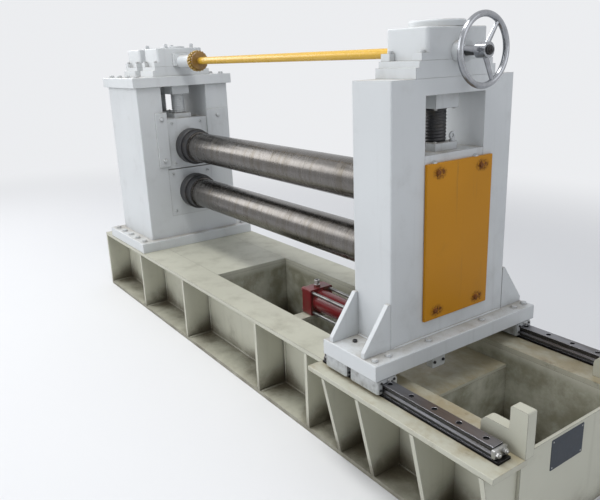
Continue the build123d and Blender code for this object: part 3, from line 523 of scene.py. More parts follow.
def streaked(name, paint, grime, chip, bolts, rust):
    """Panel enamel with faint runs of dirt, and rust speckled round its bolts at (y, z) points."""
    coat = Coat(name, Specular_IOR_Level=0.25)
    place = coat.place
    wander = noise(place, 60.0, 4.0, 0.65) * 0.016
    drip = noise(place * (40.0, 40.0, 3.0), 1.0, 4.0, 0.6)

    def round_bolt(y, z):
        aside = (coat.y - y - 0.008) / 0.027
        below = coat.z - z + 0.003
        fall = below * (0.75 - 0.15 * span(below, -0.02, 0.0)) / 0.012
        away = aside * aside + fall * fall
        return 1.0 - span(away + (wander - 0.008) * 160.0, 0.25, 2.4)

    stain = sum(round_bolt(y, z) for y, z in bolts)
    worn, soft = coat.edges(0.003)
    clouds = noise(place, 6.0, 5.0, 0.6)
    run = span(drip, 0.58, 0.76)
    shade = mottled(place, 2.2, 2.0, paint, 0.92)
    shade = tint(span(clouds, 0.55, 0.85) * 0.30 + run * 0.22, shade, grime)
    crust = noise(place, 150.0, 4.0, 0.7)
    rusted = stain * (0.25 + 0.75 * span(crust, 0.38, 0.60))
    shade = tint(rusted, shade, tint(span(crust, 0.50, 0.62), rust, scaled(rust, 0.22)))
    chipped = coat.flaked(worn, 45.0) * 0.7
    shade = tint(chipped, shade, chip)
    normal = bump(noise(place, 380.0, 2.0) + clouds * 0.4 - chipped * 0.5, 0.16, 0.0009, soft)
    return coat.set(Base_Color=shade, Roughness=0.34 + 0.18 * clouds + 0.3 * rusted, Normal=normal)


def stained(name, paint, grime, tan, chip):
    """The ground seats beside the rails: cream enamel soaked with tan oil, smeared along the rails; the tan
    is deeper in corners, which is partly oil and partly painted shade.
    """
    coat = Coat(name, Coat_Roughness=0.2)
    place = coat.place
    smear = noise(place * (2.2, 3.0, 3.0), 4.0, 6.0, 0.68)
    clouds = noise(place, 14.0, 6.0, 0.68)
    worn, soft = coat.edges(0.003)
    inward = 1.0 - span(abs(coat.y), 0.30, 0.47)
    top = span(coat.up, 0.6, 0.95)
    # Corner occlusion deepens the tan stain: partly oil, partly painted shade
    corner = span(coat.corners(0.05), 0.12, 0.80)
    oily = span(smear + inward * 0.22 + clouds * 0.35 + corner * 0.3, 0.60, 1.02) * (0.25 + 0.75 * top)
    shade = mottled(place, 2.0, 2.0, paint, 0.9)
    shade = tint(oily * 0.85, shade, tan)
    shade = tint(span(clouds + smear * 0.4, 0.80, 1.02) * 0.6, shade, grime)
    chipped = coat.flaked(worn, 40.0) * 0.6
    shade = tint(chipped, shade, chip)
    normal = bump(noise(place, 300.0, 2.0) * 0.6 + clouds, 0.18, 0.0010, soft)
    return coat.set(Base_Color=shade, Roughness=0.40 - 0.16 * oily + 0.14 * clouds, Normal=normal)


def ground_bar(name, steel, brown):
    """Cylindrically ground steel: fine rings round the X axis, oil film and brown scuffs along it."""
    coat = Coat(name, Metallic=1.0, Anisotropic=0.45)
    place = coat.place
    rings = noise(place * (1.0, 0.004, 0.004), 420.0, 4.0, 0.78)
    bands = noise(place * (1.0, 0.10, 0.10), 24.0, 5.0, 0.66)
    scuff = noise(place * (1.6, 1.0, 1.0), 13.0, 6.0, 0.70)
    specks = noise(place, 210.0, 3.0, 0.7)
    shade = tint(span(rings, 0.32, 0.68), scaled(steel, 0.80), scaled(steel, 1.20))
    shade = tint(span(bands, 0.46, 0.70) * 0.45, shade, scaled(brown, 0.80))
    shade = tint(span(scuff, 0.52, 0.80) * 0.40, shade, brown)
    shade = tint(span(specks, 0.64, 0.74) * 0.5, shade, scaled(steel, 1.9))
    worn, soft = coat.edges(0.0012)
    normal = bump(rings + 0.5 * specks, 0.10, 0.0005, soft)
    rough = 0.20 + 0.10 * rings + 0.12 * span(scuff, 0.46, 0.76)
    shade = tint(worn * 0.3, shade, scaled(steel, 1.3))
    return coat.set(Base_Color=shade, Roughness=rough, Normal=normal)


def ground_rail(name, steel, brown):
    """Ground rail steel: fine lines along X, flanks darkened as painted shade, a film of oil, edges lightened
    as a painted highlight, and a black pad below.
    """
    coat = Coat(name, Metallic=1.0, Anisotropic=0.3)
    place = coat.place
    lines = noise(place * (0.02, 1.0, 1.0), 900.0, 3.0, 0.7)
    smear = noise(place * (1.0, 9.0, 9.0), 3.0, 5.0, 0.6)
    top = span(coat.up, 0.5, 0.9)
    # Flanks are a darker copy of the top, chosen by which way the face points: painted shade
    shade = tint(top, scaled(steel, 0.12), scaled(steel, 0.70))
    shade = tint(span(lines, 0.35, 0.65) * 0.35, shade, scaled(steel, 0.9))
    shade = tint(span(smear, 0.44, 0.70) * 0.60, shade, scaled(brown, 0.5))
    worn, soft = coat.edges(0.0018)
    # Edges lit far past the steel's own colour: a painted highlight
    shade = tint(worn * 0.9, shade, scaled(steel, 2.2))
    pad_black, pad_top = (0.012, 0.012, 0.013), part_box("linear_rails")[0].z + PAD_HEIGHT
    shade = tint(1.0 - span(coat.z, pad_top - 0.0002, pad_top + 0.0004), shade, pad_black)
    normal = bump(lines, 0.06, 0.0005, soft)
    return coat.set(Base_Color=shade, Roughness=0.24 + 0.20 * smear + 0.12 * lines, Normal=normal)


def worn_metal(name, metal, dirt, rough, grain, dirty=0.6, metallic=1.0, lift=1.6):
    """Plated, blackened or cast metal: grain, dirt in clouds, edges rubbed bright by lift."""
    coat = Coat(name, Metallic=metallic)
    place = coat.place
    clouds = noise(place, 22.0, 5.0, 0.62)
    speck = noise(place, 240.0, 3.0, 0.7)
    worn, soft = coat.edges(0.0015)
    shade = mottled(place, 60.0, 3.0, metal, 0.85)
    shade = tint(span(clouds, 0.48, 0.78) * dirty, shade, dirt)
    shade = tint(worn * 0.7, shade, scaled(metal, lift))
    normal = bump(speck + clouds * 0.5, grain, 0.0006, soft)
    return coat.set(Base_Color=shade, Roughness=rough + 0.20 * clouds + 0.08 * speck, Normal=normal)


def seen_directly(term):
    """1 on rays that show a surface to the camera, straight, mirrored or through glass, 0 on the rest."""
    paths = [term.node("ShaderNodeLightPath", name, {})
             for name in ("Is Camera Ray", "Is Glossy Ray", "Is Transmission Ray")]
    return paths[0] + paths[1] + paths[2]


def cylinder_paint(name, paint, grime, steel, rear, front):
    """Red enamel on the caps, and bare steel between rear and front, where the tie rods are."""
    coat = Coat(name)
    place = coat.place
    rods = between(coat.x, rear, front, 0.001)
    clouds = noise(place, 16.0, 5.0, 0.62)
    worn, soft = coat.edges(0.002)
    # Occlusion deepens the grime in corners: dirt together with painted shade
    corner = span(coat.corners(0.03), 0.15, 0.8)
    shade = mottled(place, 3.0, 2.0, paint, 0.85)
    shade = tint(span(clouds + 0.3 * corner, 0.44, 0.86) * 0.75, shade, grime)
    shade = tint(worn * 0.35, shade, scaled(paint, 2.0))
    bare = tint(span(clouds, 0.42, 0.72), steel, scaled(steel, 0.5))
    normal = bump(noise(place, 350.0, 2.0) + clouds * 0.4, 0.14, 0.0008, soft)
    return coat.set(Base_Color=tint(rods, shade, bare), Metallic=0.9 * rods, Normal=normal,
                    Roughness=0.24 + 0.16 * clouds + 0.04 * rods)


def pale_floor(name, paint, backdrop, near, far):
    """Plain pale floor that runs into the colour of the backdrop from near to far metres out."""
    coat = Coat(name)
    shade = tint(noise(coat.place, 0.7, 4.0), scaled(paint, 0.985), paint)
    coat.set(Base_Color=shade, Roughness=0.80 + 0.10 * noise(coat.place, 3.0, 3.0))
    oval = coat.place * (0.7, 1.0, 0.0)
    out = oval.node("ShaderNodeVectorMath", "Value", {0: oval}, operation="LENGTH")
    glow = coat.tree.nodes.new("ShaderNodeEmission")
    glow.inputs["Color"].default_value = (*backdrop, 1.0)
    blend = coat.tree.nodes.new("ShaderNodeMixShader")
    coat.tree.links.new((span(out, near, far) * seen_directly(out)).socket, blend.inputs[0])
    coat.tree.links.new(coat.shader.outputs[0], blend.inputs[1])
    coat.tree.links.new(glow.outputs[0], blend.inputs[2])
    end = next(node for node in coat.tree.nodes if node.type == "OUTPUT_MATERIAL")
    coat.tree.links.new(blend.outputs[0], end.inputs["Surface"])
    return coat.material


STAND = ("fixed_stand_base", "fixed_stand_frame", "fixed_stand_cap", "fixed_jack_plates", "fixed_gearboxes",
         "fixed_screw_caps", "carriage_plate", "outer_stand_frame", "stand_gussets", "outer_jack_plate",
         "outer_gearbox", "outer_screw_cap")
CHOCKS = ("chock_keepers", "lower_chock_fixed", "upper_chock_fixed", "lower_chock_outer", "upper_chock_outer",
          "outer_screw_nut", "rod_bracket")
BASE = ("side_webs", "flange_plates", "upright_ribs", "tapered_ribs", "deck_plate", "cross_plates",
        "end_stops", "cylinder_support")
OILY = ("rail_seats", "cross_shelf")

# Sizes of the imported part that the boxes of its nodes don't show
BASE_PLATE = 0.020
BASE_WEB = 0.010
WEB_STEP = 0.020
RIBS_FROM_REAR = (0.010, 0.650, 1.280, 2.072)
JACK_LENGTH = 0.200
FOOT_LENGTH, FOOT_WIDTH, FOOT_HEIGHT = 0.046, 0.024, 0.026
PAD_LIP, PAD_HEIGHT = 0.026, 0.009
HOLE_PITCH, HOLES = 0.105, 8
BLOCK_WIDTH, FRONT_BLOCK, REAR_BLOCK = 0.090, 0.140, 0.113
COUPLING_GAP, COUPLING_LENGTH = 0.005, 0.070
CYLINDER_CAP = 0.070


def middle_of(node, axis):
    """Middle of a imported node's box along x, y or z."""
    low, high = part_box(node)
    return 0.5 * (getattr(low, axis) + getattr(high, axis))


def four_corners(half_a, half_b):
    """The corners of a rectangle about the origin."""
    return [(a * half_a, b * half_b) for a in (-1, 1) for b in (-1, 1)]


def on_circle(x, z, radius, turns):
    """Points at some turns round a circle square to X, with its centre at y = 0 and z."""
    return [(x, radius * math.cos(turn), z + radius * math.sin(turn)) for turn in turns]


def fixed_jacks():
    """X of the two screw jacks on the fixed stand, the one nearer the outer stand first."""
    low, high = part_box("fixed_jack_plates")
    return high.x - JACK_LENGTH / 2, low.x + JACK_LENGTH / 2


def coupling_ends():
    """X of both ends of the coupling, which follows the boss of the fixed gearboxes."""
    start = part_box("fixed_gearboxes")[1].x + COUPLING_GAP
    return start, start + COUPLING_LENGTH


def rail_distance():
    """From the middle of the machine to the middle of a rail."""
    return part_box("guide_blocks")[1].y - BLOCK_WIDTH / 2


def web_step():
    """How far out the webs' outsides are behind their step and in front of it, and the step's X."""
    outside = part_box("side_webs")[1].y
    return outside - WEB_STEP, outside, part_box("upright_ribs")[1].x


def panel_bolts(low, high):
    """(y, z) of the four bolts of the cover panel, set in from its corners."""
    left, right, inset_z = 0.055, 0.065, 0.034
    return [(y, z) for y in (low.y + left, high.y - right) for z in (low.z + inset_z, high.z - inset_z)]


def finish_nodes():
    """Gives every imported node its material."""
    pick = getattr(bpy.context.scene, COLOURS)
    shade = {name: tuple(getattr(pick, name)) for name in pick.__annotations__}
    grime, chip, stand = shade["grime"], shade["primer"], shade["stand"]
    old_grease = (0.05, 0.035, 0.018)
    bolts = panel_bolts(*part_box("cover_panel"))
    tube_low, tube_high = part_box("cylinder_tube")
    greasy_x = coupling_ends()[1] - 0.010
    finishes = {
        "stand": enamel("stand_paint", stand, grime, chip, dirty=0.42, runs=0.22, low_dirt_and_shade=0.0, chips=0.45,
                        wash=dusty_and_shaded_ledges(shade["dust"])),
        "chock": enamel("chock_paint", scaled(stand, 0.95), grime, chip, dirty=0.75, runs=0.45, low_dirt_and_shade=0.0,
                        chips=0.7, wash=dusty_and_shaded_ledges(shade["dust"])),
        "base": enamel("base_paint", shade["base"], grime, chip, dirty=0.60, runs=0.40, low_dirt_and_shade=0.70,
                       chips=0.95, gloss=0.42, wash=dirty_and_shaded_bays(shade["pit"], shade["sludge"])),
        "oily": stained("oily_paint", shade["base"], grime, shade["tan"], chip),
        "panel": streaked("panel_paint", shade["yellow"], grime, chip, bolts, shade["rust"]),
        "shaft": enamel("shaft_paint", shade["shaft"], grime, shade["rust"], dirty=0.40, runs=0.1,
                        low_dirt_and_shade=0.0, chips=0.8, gloss=0.22, wash=greased_end(greasy_x, shade["grease"])),
        "red": cylinder_paint("cylinder_paint", shade["red"], grime, scaled(shade["zinc"], 0.62),
                              tube_low.x, tube_high.x),
        "tube": enamel("tube_paint", shade["red"], grime, chip, dirty=0.45, runs=0.2, low_dirt_and_shade=0.0, chips=0.8,
                       gloss=0.18),
        "arbor": ground_bar("arbor_steel", shade["arbor"], grime),
        "rail": ground_rail("rail_steel", shade["rail"], grime),
        "black": worn_metal("black_steel", shade["black"], grime, rough=0.30, grain=0.25, dirty=0.35,
                            metallic=0.0, lift=4.0),
        "grease": worn_metal("greased_yellow", scaled(shade["shaft"], 0.55), old_grease, rough=0.22,
                             grain=0.30, dirty=0.9, metallic=0.0),
        "chrome": worn_metal("chrome_plate", shade["chrome"], scaled(shade["chrome"], 0.5), rough=0.08,
                             grain=0.02, dirty=0.4, lift=1.2),
        "zinc": worn_metal("zinc_plate", shade["zinc"], grime, rough=0.26, grain=0.15, dirty=0.75),
        "plate": worn_metal("bare_plate", shade["plate"], scaled(shade["plate"], 2.5), rough=0.32, grain=0.10,
                            dirty=0.5, metallic=0.2, lift=4.0),
        "block": worn_metal("block_steel", scaled(stand, 0.9), grime, rough=0.34, grain=0.15, dirty=0.6,
                            metallic=0.35, lift=1.3),
    }
    wears = {**dict.fromkeys(STAND, "stand"), **dict.fromkeys(CHOCKS, "chock"), **dict.fromkeys(BASE, "base"),
             **dict.fromkeys(OILY, "oily"), "cover_panel": "panel", "sync_shaft": "shaft",
             "cylinder_caps": "red", "cylinder_tube": "tube", "upper_arbor": "arbor", "lower_arbor": "arbor",
             "linear_rails": "rail", "guide_blocks": "block", "handwheel": "chrome", "cylinder_rod": "chrome",
             "fixed_lift_screws": "chock"}
    for node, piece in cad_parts.items():
        piece.data.materials.clear()
        piece.data.materials.append(finishes[wears.get(node, "black")])


class SLITTER_OT_finishes(bpy.types.Operator):
    """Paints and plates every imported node"""

    bl_idname = "slitter.finishes"
    bl_label = "Finishes"

    def execute(self, context):
        finish_nodes()
        return {"FINISHED"}


def made(name):
    """A material that the finishes step made."""
    material = bpy.data.materials.get(name)
    if material is None:
        raise RuntimeError(f"run the finishes step first: there is no material {name}")
    return material


def chock_fasteners(sizes):
    """Bolts of the keepers and the fixed chocks, and the screws round the chocks' rear covers."""
    paint, black = made("chock_paint"), made("black_steel")
    head = hexagon_head(sizes.bolt, sizes.facets)
    cap = socket_head(sizes.screw, sizes.facets)
    inset_near, inset_far, inset_z = 0.0385, 0.078, 0.040
    low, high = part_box("chock_keepers")
    heads = [(high.x, y, z) for y in (low.y + inset_near, high.y - inset_far)
             for z in (low.z + inset_z, high.z - inset_z)]
    add_piece("keeper_bolts", "base", paint, placed(head, heads, (1, 0, 0)))

    bolts_y, inset_low, inset_high = 0.122, 0.030, 0.030
    face_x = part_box("fixed_stand_frame")[1].x
    low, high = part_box("lower_chock_fixed")
    face = [(face_x, side * bolts_y, z) for side in (-1, 1) for z in (low.z + inset_low, high.z - inset_high)]
    add_piece("lower_chock_bolts", "base", paint, placed(cap, face, (1, 0, 0)))

    bolts_y, inset_high, running_gap = 0.098, 0.055, 0.0003
    low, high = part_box("upper_chock_fixed")
    face = [(face_x - running_gap, side * bolts_y, z) for side in (-1, 1)
            for z in (low.z + inset_low, high.z - inset_high)]
    add_piece("upper_chock_bolts", "upper_chock", paint, placed(cap, face, (1, 0, 0)))

    screw, circle = socket_head(0.0062, sizes.facets), 0.084
    turns = np.arange(8) * math.pi / 4 + math.pi / 8
    for name, body, chock, collar in (
            ("lower_cover_screws", "base", "lower_chock_fixed", "lower_collar"),
            ("upper_cover_screws", "upper_chock", "upper_chock_fixed", "upper_collar")):
        spots = on_circle(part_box(chock)[0].x, middle_of(collar, "z"), circle, turns)
        add_piece(name, body, black, placed(screw, spots, (-1, 0, 0)))


def heavy_bolts(sizes):
    """Rows of big bolts along both edges of the fixed stand's cap and base plate."""
    big = hexagon_head(1.3 * sizes.bolt, sizes.facets)
    for name, node, count, inset_x, inset_y in (("cap_bolts", "fixed_stand_cap", 4, 0.050, 0.045),
                                                ("stand_base_bolts", "fixed_stand_base", 5, 0.060, 0.035)):
        low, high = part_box(node)
        spots = [(x, y, high.z) for x in np.linspace(low.x + inset_x, high.x - inset_x, count)
                 for y in (low.y + inset_y, high.y - inset_y)]
        add_piece(name, "base", made("chock_paint"), placed(big, spots, (0, 0, 1)))


def jack_fasteners(sizes):
    """Lifting posts on the fixed jacks, and the bolts in the feet of all three jacks."""
    paint = made("chock_paint")
    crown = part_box("fixed_gearboxes")[1]
    post = swept_outline(rounded_box(0.012, 0.022, 0.003), SUNK, 0.024)
    post_x, post_y = 0.088, 0.085
    posts = [(jack + post_x, y, crown.z) for jack in fixed_jacks() for y in (-post_y, post_y)]
    add_piece("jack_lifting_posts", "base", paint, placed(post, posts, (0, 0, 1)))

    cap = socket_head(sizes.screw, sizes.facets)
    foot_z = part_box("fixed_jack_plates")[1].z + FOOT_HEIGHT
    feet = four_corners((JACK_LENGTH - FOOT_LENGTH) / 2, crown.y - FOOT_WIDTH / 2)
    for name, body, jacks in (("jack_foot_bolts", "base", fixed_jacks()),
                              ("outer_jack_foot_bolts", "carriage", [middle_of("outer_gearbox", "x")])):
        lugs = [(jack + x, y, foot_z) for jack in jacks for x, y in feet]
        add_piece(name, body, paint, placed(cap, lugs, (0, 0, 1)))


def carriage_fasteners(sizes):
    """Screws of the carriage plate over its bearing blocks and near its front, and those by its gussets."""
    head = hexagon_head(sizes.bolt, sizes.facets)
    low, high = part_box("carriage_plate")
    rear_x, front_x = low.x + 0.030, high.x - 0.034
    rail, from_rail, front_y = rail_distance(), 0.032, 0.150
    screws = [(x, side * y, high.z) for side in (-1, 1) for x in (rear_x, front_x)
              for y in (rail - from_rail, rail + from_rail)]
    screws += [(front_x, y, high.z) for y in (-front_y, front_y)]
    add_piece("carriage_screws", "carriage", made("chock_paint"),
              placed(head, screws, (0, 0, 1)))

    cap = socket_head(sizes.screw, sizes.facets)
    stand_low, stand_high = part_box("outer_stand_frame")
    inset_x, pocket_y = 0.065, 0.365
    inner = [(x, side * pocket_y, high.z) for side in (-1, 1)
             for x in (stand_low.x + inset_x, stand_high.x - inset_x)]
    add_piece("gusset_pocket_screws", "carriage", made("black_steel"),
              placed(cap, inner, (0, 0, 1)))


def lift_fasteners(sizes):
    """Bolts of the outer chock, the screws round the lift screws' retainers and nut, and a lifting eye."""
    paint, zinc = made("chock_paint"), made("zinc_plate")
    head = hexagon_head(sizes.bolt, sizes.facets)
    screw = socket_head(0.0060, sizes.facets)
    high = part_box("upper_chock_outer")[1]
    bolts_y, inset_z = 0.108, 0.063
    face = [(high.x, side * bolts_y, high.z - inset_z) for side in (-1, 1)]
    add_piece("outer_chock_bolts", "outer_chock", paint, placed(head, face, (1, 0, 0)))

    outer_x = middle_of("upper_chock_outer", "x")
    retainer = four_corners(0.046, 0.046)
    spots = [(outer_x + x, y, high.z) for x, y in retainer[:3]]
    add_piece("outer_retainer_screws", "outer_chock", zinc, placed(screw, spots, (0, 0, 1)))

    eye_x, eye_y = outer_x + 0.045, 0.044
    collar = turned([(0, SUNK, 0), (0.0110, SUNK, 0), (0.0110, 0.004, 0), (0.0080, 0.008, 0),
                     (0.0060, 0.011, 0), (0, 0.011, 0)], sizes.facets)
    hoop = ring((eye_x, eye_y, high.z + 0.0205), 0.0105, 0.0050)
    add_piece("lifting_eye", "outer_chock", paint,
              joined(placed(collar, [(eye_x, eye_y, high.z)], (0, 0, 1)), hoop))

    fixed_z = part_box("upper_chock_fixed")[1].z
    spots = [(jack + x, y, fixed_z) for jack in fixed_jacks() for x, y in retainer]
    add_piece("retainer_screws", "upper_chock", zinc, placed(screw, spots, (0, 0, 1)))

    nut_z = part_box("outer_screw_nut")[0].z
    under = [(outer_x + x, y, nut_z) for x, y in four_corners(0.047, 0.047)]
    add_piece("outer_nut_screws", "carriage", zinc,
              placed(socket_head(0.0055, sizes.facets), under, (0, 0, -1)))


class SLITTER_OT_stand_bolts(bpy.types.Operator):
    """Bolts of the stands, chocks, keepers, gearboxes and carriage plate"""

    bl_idname = "slitter.stand_bolts"
    bl_label = "Stand bolts"

    def execute(self, context):
        sizes = getattr(context.scene, SIZES)
        chock_fasteners(sizes)
        heavy_bolts(sizes)
        jack_fasteners(sizes)
        carriage_fasteners(sizes)
        lift_fasteners(sizes)
        return {"FINISHED"}


class SLITTER_OT_panel_fasteners(bpy.types.Operator):
    """Rusty bolts of the yellow cover panel, each with the plugged hole beside it"""

    bl_idname = "slitter.panel_fasteners"
    bl_label = "Panel fasteners"

    def execute(self, context):
        sizes = getattr(context.scene, SIZES)
        low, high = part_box("cover_panel")
        points = [(high.x, y, z) for y, z in panel_bolts(low, high)]
        rust = tuple(getattr(context.scene, COLOURS).rust)
        crust = (0.03, 0.012, 0.006)
        rusty = worn_metal("rusty_bolt", rust, crust, rough=0.62, grain=0.5, dirty=0.8, metallic=0.2,
                           lift=2.6)
        add_piece("panel_bolts", "carriage", rusty,
                  placed(hexagon_head(0.0090, sizes.facets), points, (1, 0, 0)))
        plug = turned([(0, SUNK, 0), (0.0062, SUNK, 0), (0.0062, 0.0006, 0), (0.0052, 0.0010, 0),
                       (0.0044, 0.0002, 0), (0, 0.0001, 0)], sizes.facets)
        aside, above = 0.026, 0.003
        beside = [(x, y + aside, z + above) for x, y, z in points]
        add_piece("panel_plugs", "carriage", rusty, placed(plug, beside, (1, 0, 0)))
        return {"FINISHED"}


def slab(outline, x0, x1, y_middle):
    """A flat piece square to X, an arch of ten (y, z) points that is filled in four strips."""
    low, high = sorted((x0, x1))
    legs = np.array(outline, float)
    strips = np.array([(0, 1, 2, 9), (9, 2, 7, 8), (2, 3, 6, 7), (3, 4, 5, 6)])
    front = np.column_stack([np.full(len(legs), high), legs[:, 0] + y_middle, legs[:, 1]])
    back = np.column_stack([np.full(len(legs), low), legs[:, 0] + y_middle, legs[:, 1]])
    count = len(legs)
    edge = np.arange(count)
    after = (edge + 1) % count
    sides = np.stack([edge, after, after + count, edge + count], axis=-1)
    return np.concatenate([front, back]), np.concatenate([strips, strips[:, ::-1] + count, sides])


def rail_caps_and_clamps(sizes):
    """Caps in the rails' screw holes, and a clamp with two nuts on the front end of each rail."""
    zinc, black = made("zinc_plate"), made("black_steel")
    low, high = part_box("linear_rails")
    rail, end_x = rail_distance(), high.x - PAD_LIP
    cap = turned([(0, -0.012, 0), (0.0098, -0.012, 0), (0.0098, -0.0006, 0), (0.0090, 0, 0), (0, 0, 0)],
                 sizes.facets)
    sink = 0.006
    first_x = 0.5 * (low.x + end_x) - 0.5 * (HOLES - 1) * HOLE_PITCH
    spots = [(first_x + k * HOLE_PITCH, side * rail, high.z - sink) for k in range(HOLES) for side in (-1, 1)]
    add_piece("rail_hole_caps", "base", black, placed(cap, spots, (0, 0, 1)))

    bar_t, gap, nut_y = 0.012, 0.0005, 0.017
    bar_z = high.z - 0.020
    bar = swept_outline(rounded_box(0.060, 0.030, 0.004), 0.0, bar_t)
    clamps = [stood(bar, (end_x + gap, side * rail, bar_z), (0, 1, 0), (0, 0, 1)) for side in (-1, 1)]
    add_piece("rail_end_clamps", "base", zinc, joined(*clamps))
    nuts = [(end_x + bar_t, side * rail + y, bar_z) for side in (-1, 1) for y in (-nut_y, nut_y)]
    add_piece("rail_end_nuts", "base", zinc,
              placed(nut_on_stud(0.010, sizes.facets), nuts, (1, 0, 0)))


def block_fittings(sizes):
    """An arched seal with four screws on each end of the bearing blocks, and a grease nipple in front."""
    low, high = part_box("guide_blocks")
    rail, carriage_z = rail_distance(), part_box("carriage_plate")[0].z
    half, slot, chamfer = 0.044, 0.0255, 0.008
    floor_z, slot_z, top_z = low.z + 0.002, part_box("linear_rails")[1].z + 0.0025, carriage_z - 0.004
    arch = [(-half, floor_z), (-slot, floor_z), (-slot, slot_z), (slot, slot_z), (slot, floor_z),
            (half, floor_z), (half, top_z - chamfer), (half - chamfer, top_z), (chamfer - half, top_z),
            (-half, top_z - chamfer)]
    ends = ((high.x, 1), (high.x - FRONT_BLOCK, -1), (low.x + REAR_BLOCK, 1), (low.x, -1))
    seals = [slab(arch, x, x + way * sizes.seal, side * rail) for x, way in ends for side in (-1, 1)]
    add_piece("block_end_seals", "carriage", made("block_steel"), joined(*seals), 30)

    screw = socket_head(0.0048, sizes.facets)
    inset_z, reach = 0.014, sizes.seal - 0.0005
    marks = [(side * y, z) for y, z in ((0.034, floor_z + inset_z), (0.030, carriage_z - inset_z))
             for side in (-1, 1)]
    for outward, name in ((1, "block_screws_front"), (-1, "block_screws_rear")):
        spots = [(x + way * reach, side * rail + y, z) for x, way in ends if way == outward
                 for side in (-1, 1) for y, z in marks]
        add_piece(name, "carriage", made("black_steel"), placed(screw, spots, (outward, 0, 0)))

    nipple = turned([(0, SUNK, 0), (0.0042, SUNK, 1), (0.0042, 0.004, 1), (0.0022, 0.005, 0),
                     (0.0022, 0.010, 0), (0.0032, 0.0115, 0), (0.0026, 0.0145, 0), (0, 0.015, 0)],
                    sizes.facets)
    nipple_z = carriage_z - 0.009
    nipples = [(high.x + sizes.seal, side * rail, nipple_z) for side in (-1, 1)]
    add_piece("grease_nipples", "carriage", made("zinc_plate"),
              placed(nipple, nipples, (1, 0, 0)))


class SLITTER_OT_rail_fittings(bpy.types.Operator):
    """Hole caps, end clamps, block seals with their screws, and grease nipples of the profile rails"""

    bl_idname = "slitter.rail_fittings"
    bl_label = "Rail fittings"

    def execute(self, context):
        sizes = getattr(context.scene, SIZES)
        rail_caps_and_clamps(sizes)
        block_fittings(sizes)
        return {"FINISHED"}


def rib_beads(leg, ripple):
    """Each upright rib welded to its web, and to the flange below and above it, on both faces."""
    low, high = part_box("side_webs")
    web_y = web_step()[0]
    edge_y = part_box("flange_plates")[1].y - 0.002
    beads = []
    for station in RIBS_FROM_REAR:
        for x, way in ((low.x + station, -1), (low.x + station + BASE_PLATE, 1)):
            for side in (-1, 1):
                foot, foot_edge = (x, side * web_y, low.z), (x, side * edge_y, low.z)
                crown, crown_edge = (x, side * web_y, high.z), (x, side * edge_y, high.z)
                for start, end, lean in ((foot, crown, (0, side, 0)), (foot, foot_edge, (0, 0, 1)),
                                         (crown, crown_edge, (0, 0, -1))):
                    beads.append(fillet_weld(start, end, (way, 0, 0), lean, leg, ripple))
    return beads


def web_beads(leg, ripple):
    """The webs welded along the flanges: below and above behind their step, and below in front of it."""
    low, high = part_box("side_webs")
    narrow_y, wide_y, step_x = web_step()
    rear_x, front_x, step_gap = low.x + 0.030, high.x - 0.028, 0.005
    behind, before = (rear_x, step_x - BASE_PLATE), (step_x + step_gap, front_x)
    return [fillet_weld((start, side * y, z), (end, side * y, z), (0, side, 0), (0, 0, lean), leg, ripple)
            for side in (-1, 1)
            for (start, end), y, z, lean in ((behind, narrow_y, low.z, 1), (behind, narrow_y, high.z, -1),
                                             (before, wide_y, low.z, 1))]


def stand_beads(leg, ripple):
    """The outer stand's frame welded to the carriage plate all round, short of its corners."""
    low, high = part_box("outer_stand_frame")
    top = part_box("carriage_plate")[1].z
    short_y, short_x = 0.004, 0.020
    reach = high.y - short_y
    faces = [fillet_weld((x, -reach, top), (x, reach, top), (way, 0, 0), (0, 0, 1), leg, ripple)
             for x, way in ((low.x, -1), (high.x, 1))]
    flanks = [fillet_weld((low.x + short_x, side * high.y, top), (high.x - short_x, side * high.y, top),
                          (0, side, 0), (0, 0, 1), leg, ripple) for side in (-1, 1)]
    return faces + flanks


class SLITTER_OT_welds(bpy.types.Operator):
    """Fillet welds of the base's ribs, webs and flanges, and of the outer stand's frame"""

    bl_idname = "slitter.welds"
    bl_label = "Welds"

    def execute(self, context):
        sizes = getattr(context.scene, SIZES)
        leg, ripple = sizes.weld, sizes.ripple
        on_base = joined(*rib_beads(leg, ripple), *web_beads(leg, ripple))
        add_piece("base_welds", "base", made("base_paint"), on_base, 60)
        on_stand = joined(*stand_beads(leg, ripple))
        add_piece("stand_welds", "carriage", made("stand_paint"), on_stand, 60)
        return {"FINISHED"}


class SLITTER_OT_screw_threads(bpy.types.Operator):
    """Threads of the three lift screws"""

    bl_idname = "slitter.screw_threads"
    bl_label = "Screw threads"

    def execute(self, context):
        sizes = getattr(context.scene, SIZES)
        root = 0.0391
        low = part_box("upper_chock_fixed")[1].z + 0.001
        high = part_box("outer_screw_nut")[0].z - 0.002
        outer, *fixed = [thread((x, 0), root, sizes.thread, sizes.pitch, low, high)
                         for x in (middle_of("outer_screw_nut", "x"), *fixed_jacks())]
        add_piece("outer_screw_thread", "outer_chock", made("black_steel"), outer, 40)
        add_piece("fixed_screw_threads", "upper_chock", made("chock_paint"),
                  joined(*fixed), 40)
        return {"FINISHED"}


